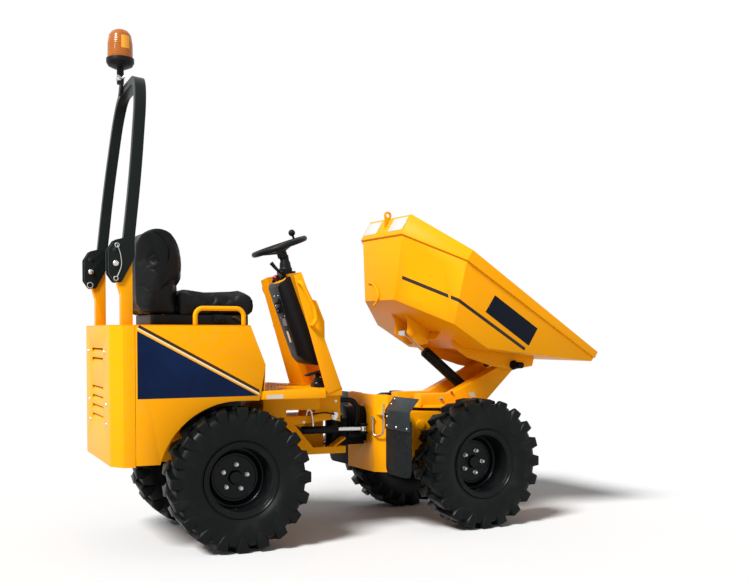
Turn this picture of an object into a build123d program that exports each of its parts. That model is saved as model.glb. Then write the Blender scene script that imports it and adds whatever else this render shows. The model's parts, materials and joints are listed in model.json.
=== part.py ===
from build123d import *

import math
import os

# Articulated site dumper with a swivel skip and a folding roll bar.
# Millimetres. X forward, Y left, Z up. While it is built, the frame's origin is on the ground
# under the articulation pin; the front half is built straight ahead and then steered.

# ---- How it stands ----
STEER_REST = 4.7          # front chassis turned left, degrees
TIP_REST = 31.0           # skip tipped from its lowered place, degrees

# ---- Wheels ----
TYRE_OD = 676.0
TYRE_WIDTH = 200.0
LUG_HEIGHT = 19.0
LUGS = 20                 # on each side of the tread
LUG_SHOULDER = 46.0       # lug's width at the shoulder
LUG_TIP = 24.0            # lug's width past the middle of the tread
LUG_SWEEP = 34.0          # how far the inner end runs ahead of the shoulder
LUG_OVERLAP = 9.0         # inner end past the middle of the tread
LUG_FLANK = 62.0          # how far a lug runs down the sidewall
LUG_EDGE = 16.0           # from the tyre's side to the edge of a lug's top
TYRE_WALL = 74.0          # from the carcass's crown down to its widest place
BEAD_RADIUS = 158.0
BEAD_HALF = 62.0
RIM_LIP_RADIUS = 180.0
RIM_HALF_WIDTH = 78.0
RIM_DISH = 46.0           # bolt face, inboard of the wheel's middle
RIM_PLATE = 8.0
STUD_CIRCLE = 61.0
STUDS = 5
TRACK = 799.0
REAR_AXLE_X = -645.0
FRONT_AXLE_X = 647.0
AXLE_Z = TYRE_OD / 2
DRUM_RADIUS = 88.0
AXLE_HOUSING = 80.0

# ---- Running clearances ----
FIT = 0.05                # pins in their bores, on the radius
SEAT_GAP = 0.3            # faces that rest on each other

# ---- Rear body ----
PANEL_HALF = 421.0        # outside of the side panels
PANEL_SHEET = 4.0
BODY_TOP = 1056.0
BODY_REAR = -1218.0
COWL_HALF = 340.0
COWL_CORNER_X = -1172.0
COWL_CORNER_HALF = 409.0
COWL_SHEET = 5.0
COWL_BOTTOM = 416.0
COWL_FRONT = -1121.0
LOUVRE_HALF = 160.0
LOUVRE_HEIGHT = 27.0
LOUVRE_DEPTH = 12.0
LOUVRE_PITCH = 45.5
LOUVRE_TOP = 948.0
LOUVRE_ROWS = (0, 1, 4, 5, 6, 7)
SILL_Z = 423.0
ARCH_RADIUS = 378.0
DECK_Z = 745.0
DECK_EDGE = 40.0
DECK_SHEET = 5.0
DECK_FRONT_X = -208.0
TONGUE_REAR_X = -150.0
TONGUE_FRONT_X = -57.0
SEAT_BOX_TOP_X = -584.0
SEAT_BOX_KNEE_X = -511.0
SEAT_BOX_KNEE_Z = 869.0
SEAT_BOX_FOOT_X = -515.0
ENGINE_HEAD = 96.0        # room over the engine

# ---- Rear chassis ----
CHASSIS_REAR_X = -1110.0
RAIL_HALF = 192.0
RAIL_SHEET = 12.0
RAIL_LOW = 400.0
RAIL_HIGH = 560.0
NOSE_HALF = 128.0
NOSE_TOP = 597.0
NOSE_BOTTOM = 398.0
NOSE_PLATE = 10.0
NOSE_REAR_X = -330.0
NOSE_STEP_X = -151.0      # where the nose plates rise to the deck
NOSE_FRONT_X = -13.0
NOSE_TOE_X = 17.0
NOSE_SILL = 433.0         # top of the nose plates' lower arm
WEB_HALF = 5.0
PIVOT_PIN_RADIUS = 20.0
PIVOT_EAR_RADIUS = 48.0
PIVOT_HUB_RADIUS = 44.0

# ---- Steering ram ----
STEER_FOOT = (-225.0, -92.0)
STEER_EYE = (105.0, -134.0)
STEER_Z = 520.0
STEER_PIN_RADIUS = 9.0
STEER_BARREL = 205.0      # length from the foot pin to the gland
STEER_ROD_START = 136.0   # rod's inner end, from the foot pin, as it stands
STEER_RADIUS = 20.0
STEER_ROD_RADIUS = 10.0
STEER_EAR_SHEET = 8.0
STEER_EAR_GAP = 24.0      # from the ram's middle to its ears

# ---- Console and steering wheel ----
CONSOLE_HALF = 266.5
CONSOLE_SHEET = 4.0
CONSOLE_FOOT_X = -61.5
CONSOLE_TOP_X = -275.5
CONSOLE_RISE = 575.0      # front plate's top over the deck
CHEEK_TOP = 42.0          # cheeks' depth at the top
CHEEK_FOOT = 80.0         # and at the deck
CHEEK_HANG = 31.0         # how far they hang beside the deck's tongue
BOX_HALF = 100.0
BOX_DEPTH = 92.0
BOX_ROUND = 64.0
COLUMN_MOUNT_HALF = 44.0
CONSOLE_RAIL_RADIUS = 11.0
CONSOLE_RAIL_REACH = 36.0
STEERING_WHEEL = 300.0    # diameter
GRIP_RADIUS = 14.0
WHEEL_CENTRE = (-298.0, 0.0, 1464.0)
WHEEL_TILT = 20.0
COLUMN_LEAN = 11.0
HUB_DEPTH = 58.0
KNOB_ANGLE = 32.0
KNOB_RISE = 44.0
KNOB_RADIUS = 18.0

# ---- Seat, heights over the body's top ----
SEAT_PAN = 50.0
CUSHION_TOP = 156.0
BACK_TOP = 464.0
SEAT_HALF = 208.0
SEAT_RAIL_TOP = 88.0
SEAT_RAIL_RADIUS = 11.0

# ---- Roll bar, heights over the body's top ----
POST_HALF = 353.0
POST_SIZE = 50.0
POST_X = -1146.0
HINGE_X = -1191.0
HINGE_RISE = 273.0
HINGE_Z = BODY_TOP + HINGE_RISE
POST_TOP = HINGE_Z + 11.0
HINGE_BOLT_RADIUS = 10.0
LEG_DEPTH = 50.0
LEG_WIDTH = 40.0
LEG_LEAN = 0.112          # forward run for each millimetre of rise
LEG_FOOT_X = -1146.0
HOOP_RISE = 873.0         # crossbar's middle over the hinge
EAR_PLATE = 10.0
EAR_RADIUS = 20.0
LOCK_RISE = 61.0          # lock pin over the hinge bolt
HINGE_CHEEK = 8.0
BEACON_X = -1080.0
BEACON_Y = 100.0
BEACON_RISE = 142.0       # beacon's base over the crossbar's middle
BEACON_RADIUS = 67.0
BEACON_LENS_HEIGHT = 140.0

# ---- Front chassis ----
FRAME_REAR_X = 165.0
FRAME_PLATE = 8.0
FRAME_FLAT_HALF = 148.0
FRAME_HALF = 200.0
FRAME_FRONT_X = 930.0
FRAME_TOP = 600.0
FRAME_BOTTOM = 290.0
FRAME_BACK_TOP = 697.0
PORT_HALF = 64.0          # opening round the pivot block
PORT_SHOULDER = 578.0
PORT_LOW = 446.0
GUARD_HALF = 450.0
GUARD_X = 200.0
GUARD_FOLD_Z = 620.0
FLAP_BOTTOM = 285.0
FLAP_CORNER = 42.0

# ---- Turntable ----
SWIVEL_X = FRONT_AXLE_X
RING_RADIUS = 205.0
RING_HEIGHT = 18.0
TABLE_RADIUS = 245.0
TABLE_PLATE = 12.0
TABLE_LOW = FRAME_TOP + RING_HEIGHT + SEAT_GAP
TABLE_TOP = TABLE_LOW + TABLE_PLATE
ARM_HALF = 159.0
ARM_BOX = 74.0            # width of each box-section arm
TIP_X = 1045.0
TIP_Z = 840.0
TIP_PIN_RADIUS = 17.5
TIP_PIN_END = 255.0
RAM_FOOT_X = 893.0
RAM_FOOT_Z = 662.0
RAM_PIN_RADIUS = 12.0
RAM_RADIUS = 30.0
RAM_ROD_RADIUS = 12.5
RAM_EYE_RADIUS = 19.0
RAM_EYE_HALF = 34.0
RAM_BARREL = 420.0        # length from the foot pin to the gland
RAM_ROD_START = 160.0     # rod's inner end, from the foot pin, as it stands
LUG_GAP = 4.0

# ---- Skip, measured from the middle of its rear rim when lowered ----
SKIP_REAR_X = 34.0
RIM_Z = 1110.0
RIM_REAR_HALF = 225.0
RIM_SIDE_HALF = 481.0
RIM_CORNER_X = 284.0
RIM_FRONT_X = 1275.0
RIM_BAND = 63.0
RIM_FALL = 24.0           # rim's drop at the lip
REAR_BOARD = 58.0         # rear rim's rise over the sides
BAND_STEP = 12.0          # band's stand-off from the wall
SKIP_SHEET = 5.0
FLOOR_DROP = 360.0
FLOOR_REAR_X = 170.0
FLOOR_REAR_HALF = 160.0
FLOOR_HALF = 405.0
FLOOR_KNEE_X = 672.0
FLOOR_RISE = 24.6         # front part of the floor, degrees
HINGE_PLATE = 12.0
HINGE_GAP = 7.0           # hinge plates outside the arms
RAM_EYE_X = 396.0
RAM_EYE_DROP = 427.0
RAM_LUG_IN = 62.0
RAM_LUG_PLATE = 10.0
CHANNEL_X = 500.0
CHANNEL_SHEET = 8.0
CHANNEL_DEPTH = 47.0      # clears the turntable's arms when the skip is down
EYE_STAND_OFF = -22.0
EYE_RISE = 62.0
EYE_RADIUS = 21.0
EYE_HOLE_RADIUS = 11.0
EYE_PLATE = 12.0


def block(x, y, z):
    """Box between pairs of limits."""
    size = (x[1] - x[0], y[1] - y[0], z[1] - z[0])
    middle = ((x[0] + x[1]) / 2, (y[0] + y[1]) / 2, (z[0] + z[1]) / 2)
    return Pos(*middle) * Box(*size)


def side_plate(points, y_low, y_high):
    """Outline of (x, z) points, thick along Y."""
    face = make_face(Polyline(*points, close=True))
    return extrude(Plane.XZ.offset(-y_high) * face, y_high - y_low)


def plan_plate(points, z_low, z_high):
    """Outline of (x, y) points, thick along Z."""
    face = make_face(Polyline(*points, close=True))
    return extrude(Plane.XY.offset(z_low) * face, z_high - z_low)


def bar(start, end, radius):
    """Round bar from one point to another."""
    run = Vector(*end) - Vector(*start)
    solid = Cylinder(radius, run.length, align=(Align.CENTER, Align.CENTER, Align.MIN))
    return Plane(origin=start, z_dir=run) * solid


def cross_bar(x, z, radius, y_low, y_high):
    """Round bar along Y."""
    return bar((x, y_low, z), (x, y_high, z), radius)


def bent_tube(points, radius, bend):
    """Round bar along straight runs joined by arcs."""
    path = FilletPolyline(*points, radius=bend)
    return sweep(Plane(origin=path @ 0, z_dir=path % 0) * Circle(radius), path=path)


def both_sides(shape):
    """The shape and its mirror image across the middle."""
    return [shape, mirror(shape, about=Plane.XZ)]


def join(shapes):
    """Shapes fused where they touch."""
    result = shapes[0]
    for shape in shapes[1:]:
        result = result + shape
    return result


# ---------------------------------------------------------------- wheels

def tyre_wedge(half_angle):
    """One flat of the carcass: its section run straight across and mitred at both ends."""
    crown = TYRE_OD / 2 - LUG_HEIGHT
    half = TYRE_WIDTH / 2
    right = [(half - 14, crown), (half - 6, crown - TYRE_WALL), (BEAD_HALF, BEAD_RADIUS)]
    section = make_face(Polyline(*right, *[(-y, z) for y, z in reversed(right)], close=True))
    reach = TYRE_OD
    strip = extrude(Plane.YZ.offset(-reach) * section, 2 * reach)
    spread = reach * math.tan(math.radians(half_angle))
    return strip & side_plate([(0, 0), (-spread, reach), (spread, reach)], -half, half)


def lug_corner():
    """Furthest corner of a lug's top from the lug's middle line."""
    return LUG_SWEEP / 2 + LUG_SHOULDER / 2


def tyre_lug():
    """A left-hand lug at the top of the wheel: wide at the shoulder, narrow and swept at the middle."""
    half = TYRE_WIDTH / 2
    behind = LUG_SWEEP / 2
    edge = half - LUG_EDGE
    top = math.sqrt((TYRE_OD / 2) ** 2 - lug_corner() ** 2)
    base = TYRE_OD / 2 - LUG_HEIGHT - 6
    plan = [(-LUG_SHOULDER / 2 - behind, edge), (-LUG_SHOULDER / 2 - behind, half),
            (LUG_SHOULDER / 2 - behind, half), (LUG_SHOULDER / 2 - behind, edge),
            (LUG_TIP / 2 + behind, -LUG_OVERLAP), (-LUG_TIP / 2 + behind, -LUG_OVERLAP)]
    side = [(-LUG_OVERLAP, base), (-LUG_OVERLAP, top), (edge, top), (half - 1, top - LUG_FLANK),
            (half - 10, top - LUG_FLANK), (half - 24, base)]
    profile = extrude(Plane.YZ.offset(-half) * make_face(Polyline(*side, close=True)), 2 * half)
    return profile & plan_plate(plan, 0, TYRE_OD)


def tyre():
    """Carcass of equal flats, each with one lug of either row, fused once."""
    step = 360 / LUGS
    wedge = tyre_wedge(step / 2)
    left = tyre_lug()
    right = mirror(left, about=Plane.XZ)
    first = math.degrees(math.asin(lug_corner() / (TYRE_OD / 2)))
    pieces = []
    for index in range(LUGS):
        turn = first + index * step
        pieces.append(Rot(0, turn, 0) * left)
        pieces.append(Rot(0, turn + step / 4, 0) * wedge)
        pieces.append(Rot(0, turn + step / 2, 0) * right)
    return pieces[0].fuse(*pieces[1:])


def rim():
    """Dished disc in its barrel; the dish opens towards +Y."""
    barrel = BEAD_RADIUS - SEAT_GAP
    inner = barrel - 6
    seat = BEAD_HALF + SEAT_GAP
    lip = RIM_LIP_RADIUS
    face = -RIM_DISH
    points = [
        (lip, RIM_HALF_WIDTH), (lip, seat + 12), (barrel + 2, seat + 1), (barrel, seat),
        (barrel, -seat), (barrel + 2, -seat - 1), (lip, -seat - 12), (lip, -RIM_HALF_WIDTH),
        (lip - 8, -RIM_HALF_WIDTH), (inner, -seat + 6), (inner, face + 18),
        (104, face - RIM_PLATE), (0, face - RIM_PLATE), (0, face + 22), (34, face + 18), (38, face),
        (100, face), (inner, face + 26), (inner, seat - 6), (lip - 8, RIM_HALF_WIDTH),
    ]
    disc = revolve(make_face(Polyline(*points, close=True)), Axis.Y)
    ring = Plane(origin=(0, face, 0), z_dir=(0, 1, 0))
    nut = extrude(RegularPolygon(12, 6), 20)
    return join([disc] + [ring * place * nut for place in PolarLocations(STUD_CIRCLE, STUDS)])


def axle(x):
    """Beam with a hub flange at each wheel."""
    flange_face = TRACK / 2 - RIM_DISH - RIM_PLATE - SEAT_GAP
    beam = cross_bar(x, AXLE_Z, 42, -flange_face, flange_face)
    drum = cross_bar(x, AXLE_Z, DRUM_RADIUS, flange_face - 62, flange_face)
    neck = cross_bar(x, AXLE_Z, 62, flange_face - 96, flange_face - 62)
    half = AXLE_HOUSING
    housing = block((x - half, x + half), (-95, 95), (AXLE_Z - half, AXLE_Z + half))
    housing = chamfer(housing.edges().filter_by(Axis.Y), 26)
    return join([beam, housing] + both_sides(drum) + both_sides(neck))


# ---------------------------------------------------------------- rear half

def nose_plate():
    """Left nose plate: up to the deck at the front, open at the side for the steering ram."""
    deck_under = DECK_Z - DECK_SHEET - SEAT_GAP
    return side_plate([(NOSE_REAR_X, NOSE_BOTTOM), (NOSE_REAR_X, NOSE_TOP), (NOSE_STEP_X, NOSE_TOP),
                       (NOSE_STEP_X, deck_under), (NOSE_FRONT_X, deck_under), (NOSE_FRONT_X, NOSE_TOP - 35),
                       (-60, NOSE_TOP - 23), (-261, NOSE_TOP - 45), (-163, NOSE_SILL),
                       (NOSE_TOE_X, NOSE_SILL), (NOSE_TOE_X, NOSE_BOTTOM)],
                      NOSE_HALF - NOSE_PLATE, NOSE_HALF)


def nose_ramp():
    """Sloping gusset inside the toe of the left nose plate."""
    outline = [(NOSE_TOE_X, NOSE_SILL + 46), (NOSE_TOE_X - 70, NOSE_SILL),
               (NOSE_TOE_X - 56, NOSE_SILL), (NOSE_TOE_X, NOSE_SILL + 36)]
    return side_plate(outline, PIVOT_HUB_RADIUS + 16, NOSE_HALF - 2)


def steering_foot():
    """Ears off the middle web that hold the steering ram's foot pin."""
    x, y = STEER_FOOT
    gap = STEER_EAR_GAP
    sheet = STEER_EAR_SHEET
    ears = [block((x - 20, x + 20), (y - 16, 0), (STEER_Z + low, STEER_Z + low + sheet))
            for low in (gap, -gap - sheet)]
    pin = bar((x, y, STEER_Z - gap - sheet - 5), (x, y, STEER_Z + gap + sheet + 5), STEER_PIN_RADIUS)
    return ears + [pin]


def rear_frame():
    rail = side_plate([(CHASSIS_REAR_X, RAIL_LOW + 40), (CHASSIS_REAR_X, RAIL_HIGH), (NOSE_REAR_X, RAIL_HIGH),
                       (NOSE_REAR_X, RAIL_LOW), (-900, RAIL_LOW)], RAIL_HALF - RAIL_SHEET, RAIL_HALF)
    saddle_low = AXLE_Z + AXLE_HOUSING + SEAT_GAP
    saddle = block((REAR_AXLE_X - 80, REAR_AXLE_X + 80), (-RAIL_HALF, RAIL_HALF),
                   (saddle_low, saddle_low + 15))
    bulkhead = block((NOSE_REAR_X - RAIL_SHEET, NOSE_REAR_X), (-RAIL_HALF, RAIL_HALF), (RAIL_LOW, NOSE_TOP))
    rear_plate = block((CHASSIS_REAR_X, CHASSIS_REAR_X + RAIL_SHEET), (-RAIL_HALF, RAIL_HALF),
                       (RAIL_LOW + 40, RAIL_HIGH))
    web = block((NOSE_REAR_X, -60), (-WEB_HALF, WEB_HALF), (NOSE_BOTTOM, NOSE_TOP))
    ears = []
    for z_low in (NOSE_BOTTOM, NOSE_TOP - NOSE_PLATE):
        shape = plan_plate([(NOSE_REAR_X, -NOSE_HALF + 2), (-60, -NOSE_HALF + 2), (0, -PIVOT_EAR_RADIUS),
                            (0, PIVOT_EAR_RADIUS), (-60, NOSE_HALF - 2), (NOSE_REAR_X, NOSE_HALF - 2)],
                           z_low, z_low + NOSE_PLATE)
        ears.append(shape + bar((0, 0, z_low), (0, 0, z_low + NOSE_PLATE), PIVOT_EAR_RADIUS))
    toe = block((-60, NOSE_TOE_X), (PIVOT_HUB_RADIUS + 16, NOSE_HALF - 2),
                (NOSE_SILL - NOSE_PLATE, NOSE_SILL))
    pin = bar((0, 0, NOSE_BOTTOM - 14), (0, 0, NOSE_TOP + 10), PIVOT_PIN_RADIUS)
    pairs = both_sides(rail) + both_sides(nose_plate()) + both_sides(toe) + both_sides(nose_ramp())
    return join([bulkhead, rear_plate, saddle, web, pin] + pairs + ears + steering_foot())


def engine_block():
    half = RAIL_HALF - 4
    return block((-1060, -560), (-half, half), (RAIL_HIGH + SEAT_GAP, BODY_TOP - ENGINE_HEAD))


def cowl_outline(inset):
    """Half of the cowl's plan, from its front edge round to the middle of the rear face."""
    return [(COWL_FRONT, PANEL_HALF - inset), (COWL_CORNER_X + inset * 0.6, COWL_CORNER_HALF - inset * 1.1),
            (BODY_REAR + inset, COWL_HALF - inset * 0.5)]


def rear_cowl():
    def mirrored(points):
        return points + [(x, -y) for x, y in reversed(points)]

    top = BODY_TOP - SEAT_GAP - PANEL_SHEET
    shell = plan_plate(mirrored(cowl_outline(0)), COWL_BOTTOM, top)
    shell = shell - plan_plate(mirrored(cowl_outline(COWL_SHEET)), COWL_BOTTOM - 1, BODY_TOP)
    for row in LOUVRE_ROWS:
        high = LOUVRE_TOP - row * LOUVRE_PITCH
        low = high - LOUVRE_HEIGHT
        slot = block((BODY_REAR - 1, BODY_REAR + COWL_SHEET + 1), (-LOUVRE_HALF, LOUVRE_HALF), (low, high))
        blade = side_plate([(BODY_REAR, low - 1), (BODY_REAR + LOUVRE_DEPTH, high - 4),
                            (BODY_REAR + LOUVRE_DEPTH + 3, high - 5), (BODY_REAR + 4, low - 1)],
                           -LOUVRE_HALF - 1, LOUVRE_HALF + 1)
        shell = shell - slot + blade
    return shell


def side_panel():
    """Left panel: sheet with the wheel arch cut out of it."""
    front_low = DECK_Z - DECK_EDGE - 3
    high = BODY_TOP - SEAT_GAP - PANEL_SHEET
    sheet = side_plate([(COWL_FRONT + 2, SILL_Z), (COWL_FRONT + 2, high), (SEAT_BOX_TOP_X, high),
                        (SEAT_BOX_KNEE_X, SEAT_BOX_KNEE_Z), (SEAT_BOX_FOOT_X - 25, front_low),
                        (SEAT_BOX_FOOT_X - 25, SILL_Z)],
                       PANEL_HALF - PANEL_SHEET, PANEL_HALF)
    arch = cross_bar(REAR_AXLE_X, AXLE_Z - 14, ARCH_RADIUS, 0, PANEL_HALF + 1)
    below = block((REAR_AXLE_X - ARCH_RADIUS, 0), (0, PANEL_HALF + 1), (0, AXLE_Z + 60))
    front = block((REAR_AXLE_X, 0), (0, PANEL_HALF + 1), (0, front_low))
    return sheet - arch - below - front


def seat_deck():
    """Folded top of the rear body and its front wall."""
    inside = PANEL_HALF - PANEL_SHEET - SEAT_GAP
    low = BODY_TOP - PANEL_SHEET
    outline = cowl_outline(0)
    outline[0] = (SEAT_BOX_TOP_X, PANEL_HALF)
    outline.insert(1, (COWL_FRONT, PANEL_HALF))
    top = plan_plate(outline + [(x, -y) for x, y in reversed(outline)], low, BODY_TOP)
    s = PANEL_SHEET
    wall = side_plate([(SEAT_BOX_TOP_X - s, BODY_TOP), (SEAT_BOX_TOP_X, BODY_TOP),
                       (SEAT_BOX_KNEE_X, SEAT_BOX_KNEE_Z), (SEAT_BOX_FOOT_X, DECK_Z + SEAT_GAP),
                       (SEAT_BOX_FOOT_X - s, DECK_Z + SEAT_GAP),
                       (SEAT_BOX_KNEE_X - s, SEAT_BOX_KNEE_Z)], -inside, inside)
    return top + wall


def footplate():
    """Tray with turned-down edges; its rear strip slips between the side panels."""
    def outline(inset):
        half = PANEL_HALF - inset
        tongue = CONSOLE_HALF - CONSOLE_SHEET - SEAT_GAP - inset
        strip = PANEL_HALF - PANEL_SHEET - SEAT_GAP - inset
        knee = SEAT_BOX_KNEE_X + 3 + inset
        left = [(SEAT_BOX_FOOT_X - 20, strip), (knee, strip), (knee, half),
                (DECK_FRONT_X - inset / 2, half), (TONGUE_REAR_X - inset / 2, tongue),
                (TONGUE_FRONT_X + inset, tongue)]
        return left + [(x, -y) for x, y in reversed(left)]

    tray = plan_plate(outline(0), DECK_Z - DECK_EDGE, DECK_Z)
    tray = tray - plan_plate(outline(DECK_SHEET), DECK_Z - DECK_EDGE - 1, DECK_Z - DECK_SHEET)
    half = RAIL_HALF
    pedestal = block((-450, NOSE_STEP_X - SEAT_GAP), (-half, half), (NOSE_TOP + 36, DECK_Z - DECK_SHEET))
    legs = block((-450, NOSE_REAR_X), (-half, half), (NOSE_TOP + SEAT_GAP, NOSE_TOP + 36))
    return join([tray, pedestal, legs])


def console_point(along, out):
    """Point at a distance up the console's front plate and out towards the driver."""
    lean = math.atan2(CONSOLE_FOOT_X - CONSOLE_TOP_X, CONSOLE_RISE)
    x = CONSOLE_FOOT_X - along * math.sin(lean) - out * math.cos(lean)
    z = DECK_Z + along * math.cos(lean) - out * math.sin(lean)
    return (x, z)


CONSOLE_LENGTH = math.hypot(CONSOLE_FOOT_X - CONSOLE_TOP_X, CONSOLE_RISE)


def console_shell():
    """Leaning front plate with two cheeks, and a humped cover ahead of it."""
    s = CONSOLE_SHEET
    foot_z = DECK_Z + SEAT_GAP
    cheek = side_plate([(CONSOLE_FOOT_X, foot_z), console_point(CONSOLE_LENGTH, 0),
                        console_point(CONSOLE_LENGTH - 4, CHEEK_TOP),
                        (CONSOLE_FOOT_X - CHEEK_FOOT, foot_z - CHEEK_HANG)],
                       CONSOLE_HALF - s, CONSOLE_HALF)
    sheet = side_plate([(CONSOLE_FOOT_X, foot_z), console_point(CONSOLE_LENGTH, 0),
                        console_point(CONSOLE_LENGTH, s), (CONSOLE_FOOT_X - s * 1.1, foot_z)],
                        -CONSOLE_HALF, CONSOLE_HALF)
    hump = side_plate([console_point(474, s - 1), console_point(454, -25), console_point(344, -29),
                       console_point(267, -2), console_point(262, s - 1)], -CONSOLE_HALF, CONSOLE_HALF)
    return join([sheet, hump] + both_sides(cheek))


def control_box():
    """Rounded column on the driver's side of the console, drawn in at its foot."""
    gap = CONSOLE_SHEET + SEAT_GAP
    top = CONSOLE_LENGTH - 12
    points = [console_point(118, gap), console_point(top, gap), console_point(top - 18, BOX_DEPTH - 28),
              console_point(top - 32, BOX_DEPTH - 14), console_point(205, BOX_DEPTH),
              console_point(150, BOX_DEPTH - 32), console_point(128, BOX_DEPTH - 62)]
    lean = math.atan2(CONSOLE_FOOT_X - CONSOLE_TOP_X, CONSOLE_RISE)
    foot = Plane(origin=(CONSOLE_FOOT_X, 0, DECK_Z), x_dir=(-math.cos(lean), 0, -math.sin(lean)),
                 z_dir=(-math.sin(lean), 0, math.cos(lean)))
    column = foot * extrude(RectangleRounded(2 * BOX_DEPTH, 2 * BOX_HALF, BOX_ROUND), CONSOLE_LENGTH)
    return column & side_plate(points, -BOX_HALF, BOX_HALF)


def console_rails():
    """A bent grab rail on each cheek."""
    y_in = CONSOLE_HALF + SEAT_GAP
    y_out = CONSOLE_HALF + CONSOLE_RAIL_REACH
    side = [console_point(CONSOLE_LENGTH - 44, 30), console_point(CONSOLE_LENGTH - 188, 12),
            console_point(CONSOLE_LENGTH - 238, 20), console_point(CONSOLE_LENGTH - 262, 44)]
    top_x, top_z = side[0]
    low_x, low_z = side[-1]
    path = [(top_x, y_in, top_z)] + [(x, y_out, z) for x, z in side] + [(low_x, y_in, low_z)]
    return join(both_sides(bent_tube(path, CONSOLE_RAIL_RADIUS, [24, 40, 18, 16])))


def steering_column():
    """Tube from the control box's top to just under the wheel's hub."""
    lean = math.radians(COLUMN_LEAN)
    under_hub = Pos(0, 0, -HUB_DEPTH - SEAT_GAP - 11)
    collar = Location(WHEEL_CENTRE, (0, -WHEEL_TILT, 0)) * under_hub * Cylinder(20, 22)
    x, y, z = collar.center()
    reach = 125.0
    tube = bar((x, 0, z), (x + reach * math.sin(lean), 0, z - reach * math.cos(lean)), 17)
    top_x, top_z = console_point(CONSOLE_LENGTH, 0)
    half = COLUMN_MOUNT_HALF
    mount = block((top_x - 22, top_x + 50), (-half, half), (top_z - 58, top_z + 18))
    return collar + ((tube + mount) - control_box() - console_shell())


def steering_wheel():
    """Rim, hub and three spokes, tilted towards the driver, with its spinner knob."""
    ring_radius = STEERING_WHEEL / 2 - GRIP_RADIUS
    section = Plane.XZ * Pos(ring_radius, 0) * Circle(GRIP_RADIUS)
    ring = Rot(0, 0, 80) * revolve(section, Axis.Z)
    hub = Pos(0, 0, 22 - HUB_DEPTH) * Cylinder(26, 44)
    spokes = [Rot(0, 0, angle) * bar((10, 0, -30), (ring_radius - 4, 0, -3), 7) for angle in (30, 150, 270)]
    stalk = bar((ring_radius, 0, 0), (ring_radius, 0, KNOB_RISE - 4), 6)
    knob = Rot(0, 0, KNOB_ANGLE) * (stalk + Pos(ring_radius, 0, KNOB_RISE) * Sphere(KNOB_RADIUS))
    wheel = hub + spokes + [ring, knob]
    return Location(WHEEL_CENTRE, (0, -WHEEL_TILT, 0)) * wheel


def rounded_plan(x_low, x_high, half, corner, z_low, z_high):
    """Upright column with a rounded rectangular plan."""
    face = RectangleRounded(x_high - x_low, 2 * half, corner)
    return Pos((x_low + x_high) / 2, 0, z_low) * extrude(face, z_high - z_low)


def seat_pan():
    return rounded_plan(-1000, -520, 190, 24, BODY_TOP + SEAT_GAP, BODY_TOP + SEAT_PAN)


def seat_cushion():
    """Cushion with a rounded front and a rise at its rear."""
    low = BODY_TOP + SEAT_PAN + SEAT_GAP
    top = BODY_TOP + CUSHION_TOP
    outline = [(-874, low), (-516, low), (-486, low + 14), (-477, low + 44), (-484, top - 30), (-504, top - 8),
               (-540, top), (-600, top - 8), (-740, top - 14), (-820, top - 4), (-874, top + 16)]
    return side_plate(outline, -SEAT_HALF, SEAT_HALF) & rounded_plan(-900, -470, SEAT_HALF, 60, low - 10, top + 60)


def seat_back():
    """Bucket back: upright shell, bulged at the shoulders and round in plan."""
    low = BODY_TOP + SEAT_PAN + SEAT_GAP
    top = BODY_TOP + BACK_TOP
    with BuildSketch(Plane.XZ) as side:
        with BuildLine():
            Line((-1041, low), (-886, low))
            Line((-886, low), (-876, top - 272))
            ThreePointArc((-876, top - 272), (-842, top - 140), (-900, top - 24))
            ThreePointArc((-900, top - 24), (-968, top), (-1040, top - 28))
            ThreePointArc((-1040, top - 28), (-1056, top - 74), (-1046, top - 160))
            Line((-1046, top - 160), (-1041, low))
        make_face()
    back = extrude(side.sketch, SEAT_HALF, both=True)
    return back & rounded_plan(-1060, -838, SEAT_HALF, 84, low - 10, top + 10)


def seat_rails():
    y = PANEL_HALF - 20
    foot = BODY_TOP + SEAT_GAP
    top = BODY_TOP + SEAT_RAIL_TOP - SEAT_RAIL_RADIUS
    path = [(-842, y, foot), (-842, y, top), (-612, y, top), (-612, y, foot)]
    return join(both_sides(bent_tube(path, SEAT_RAIL_RADIUS, 36)))


def rops_posts():
    half = POST_SIZE / 2
    foot = BODY_TOP + SEAT_GAP
    post = block((POST_X - half, POST_X + half), (POST_HALF - half, POST_HALF + half), (foot, POST_TOP))
    for y in (POST_HALF - half, POST_HALF + half - EAR_PLATE):
        ear = side_plate([(POST_X, POST_TOP - 10), (HINGE_X + 14, HINGE_Z + 14), (HINGE_X - 17, HINGE_Z - 10),
                          (POST_X - half, POST_TOP - 150), (POST_X, POST_TOP - 150)], y, y + EAR_PLATE)
        post = post + ear + cross_bar(HINGE_X, HINGE_Z, EAR_RADIUS, y, y + EAR_PLATE)
    post = post - cross_bar(HINGE_X, HINGE_Z, HINGE_BOLT_RADIUS + FIT, 0, PANEL_HALF)
    return join(both_sides(post))


# ---------------------------------------------------------------- roll bar's folding hoop

def hoop_leg_x(z):
    """The hoop leans forward as it rises."""
    return LEG_FOOT_X + (z - HINGE_Z) * LEG_LEAN


def hinge_cheek(y):
    """Rounded black plate at the foot of the hoop, over the hinge bolt and the lock pin."""
    outline = [(HINGE_X + 79, HINGE_Z + 26), (HINGE_X + 79, HINGE_Z + 128), (HINGE_X - 10, HINGE_Z + 104),
               (HINGE_X - 37, HINGE_Z + 60), (HINGE_X - 37, HINGE_Z - 45), (HINGE_X - 10, HINGE_Z - 84),
               (HINGE_X + 20, HINGE_Z - 84)]
    plate = side_plate(outline, y - HINGE_CHEEK / 2, y + HINGE_CHEEK / 2)
    return fillet(plate.edges().filter_by(Axis.Y), 14)


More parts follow.
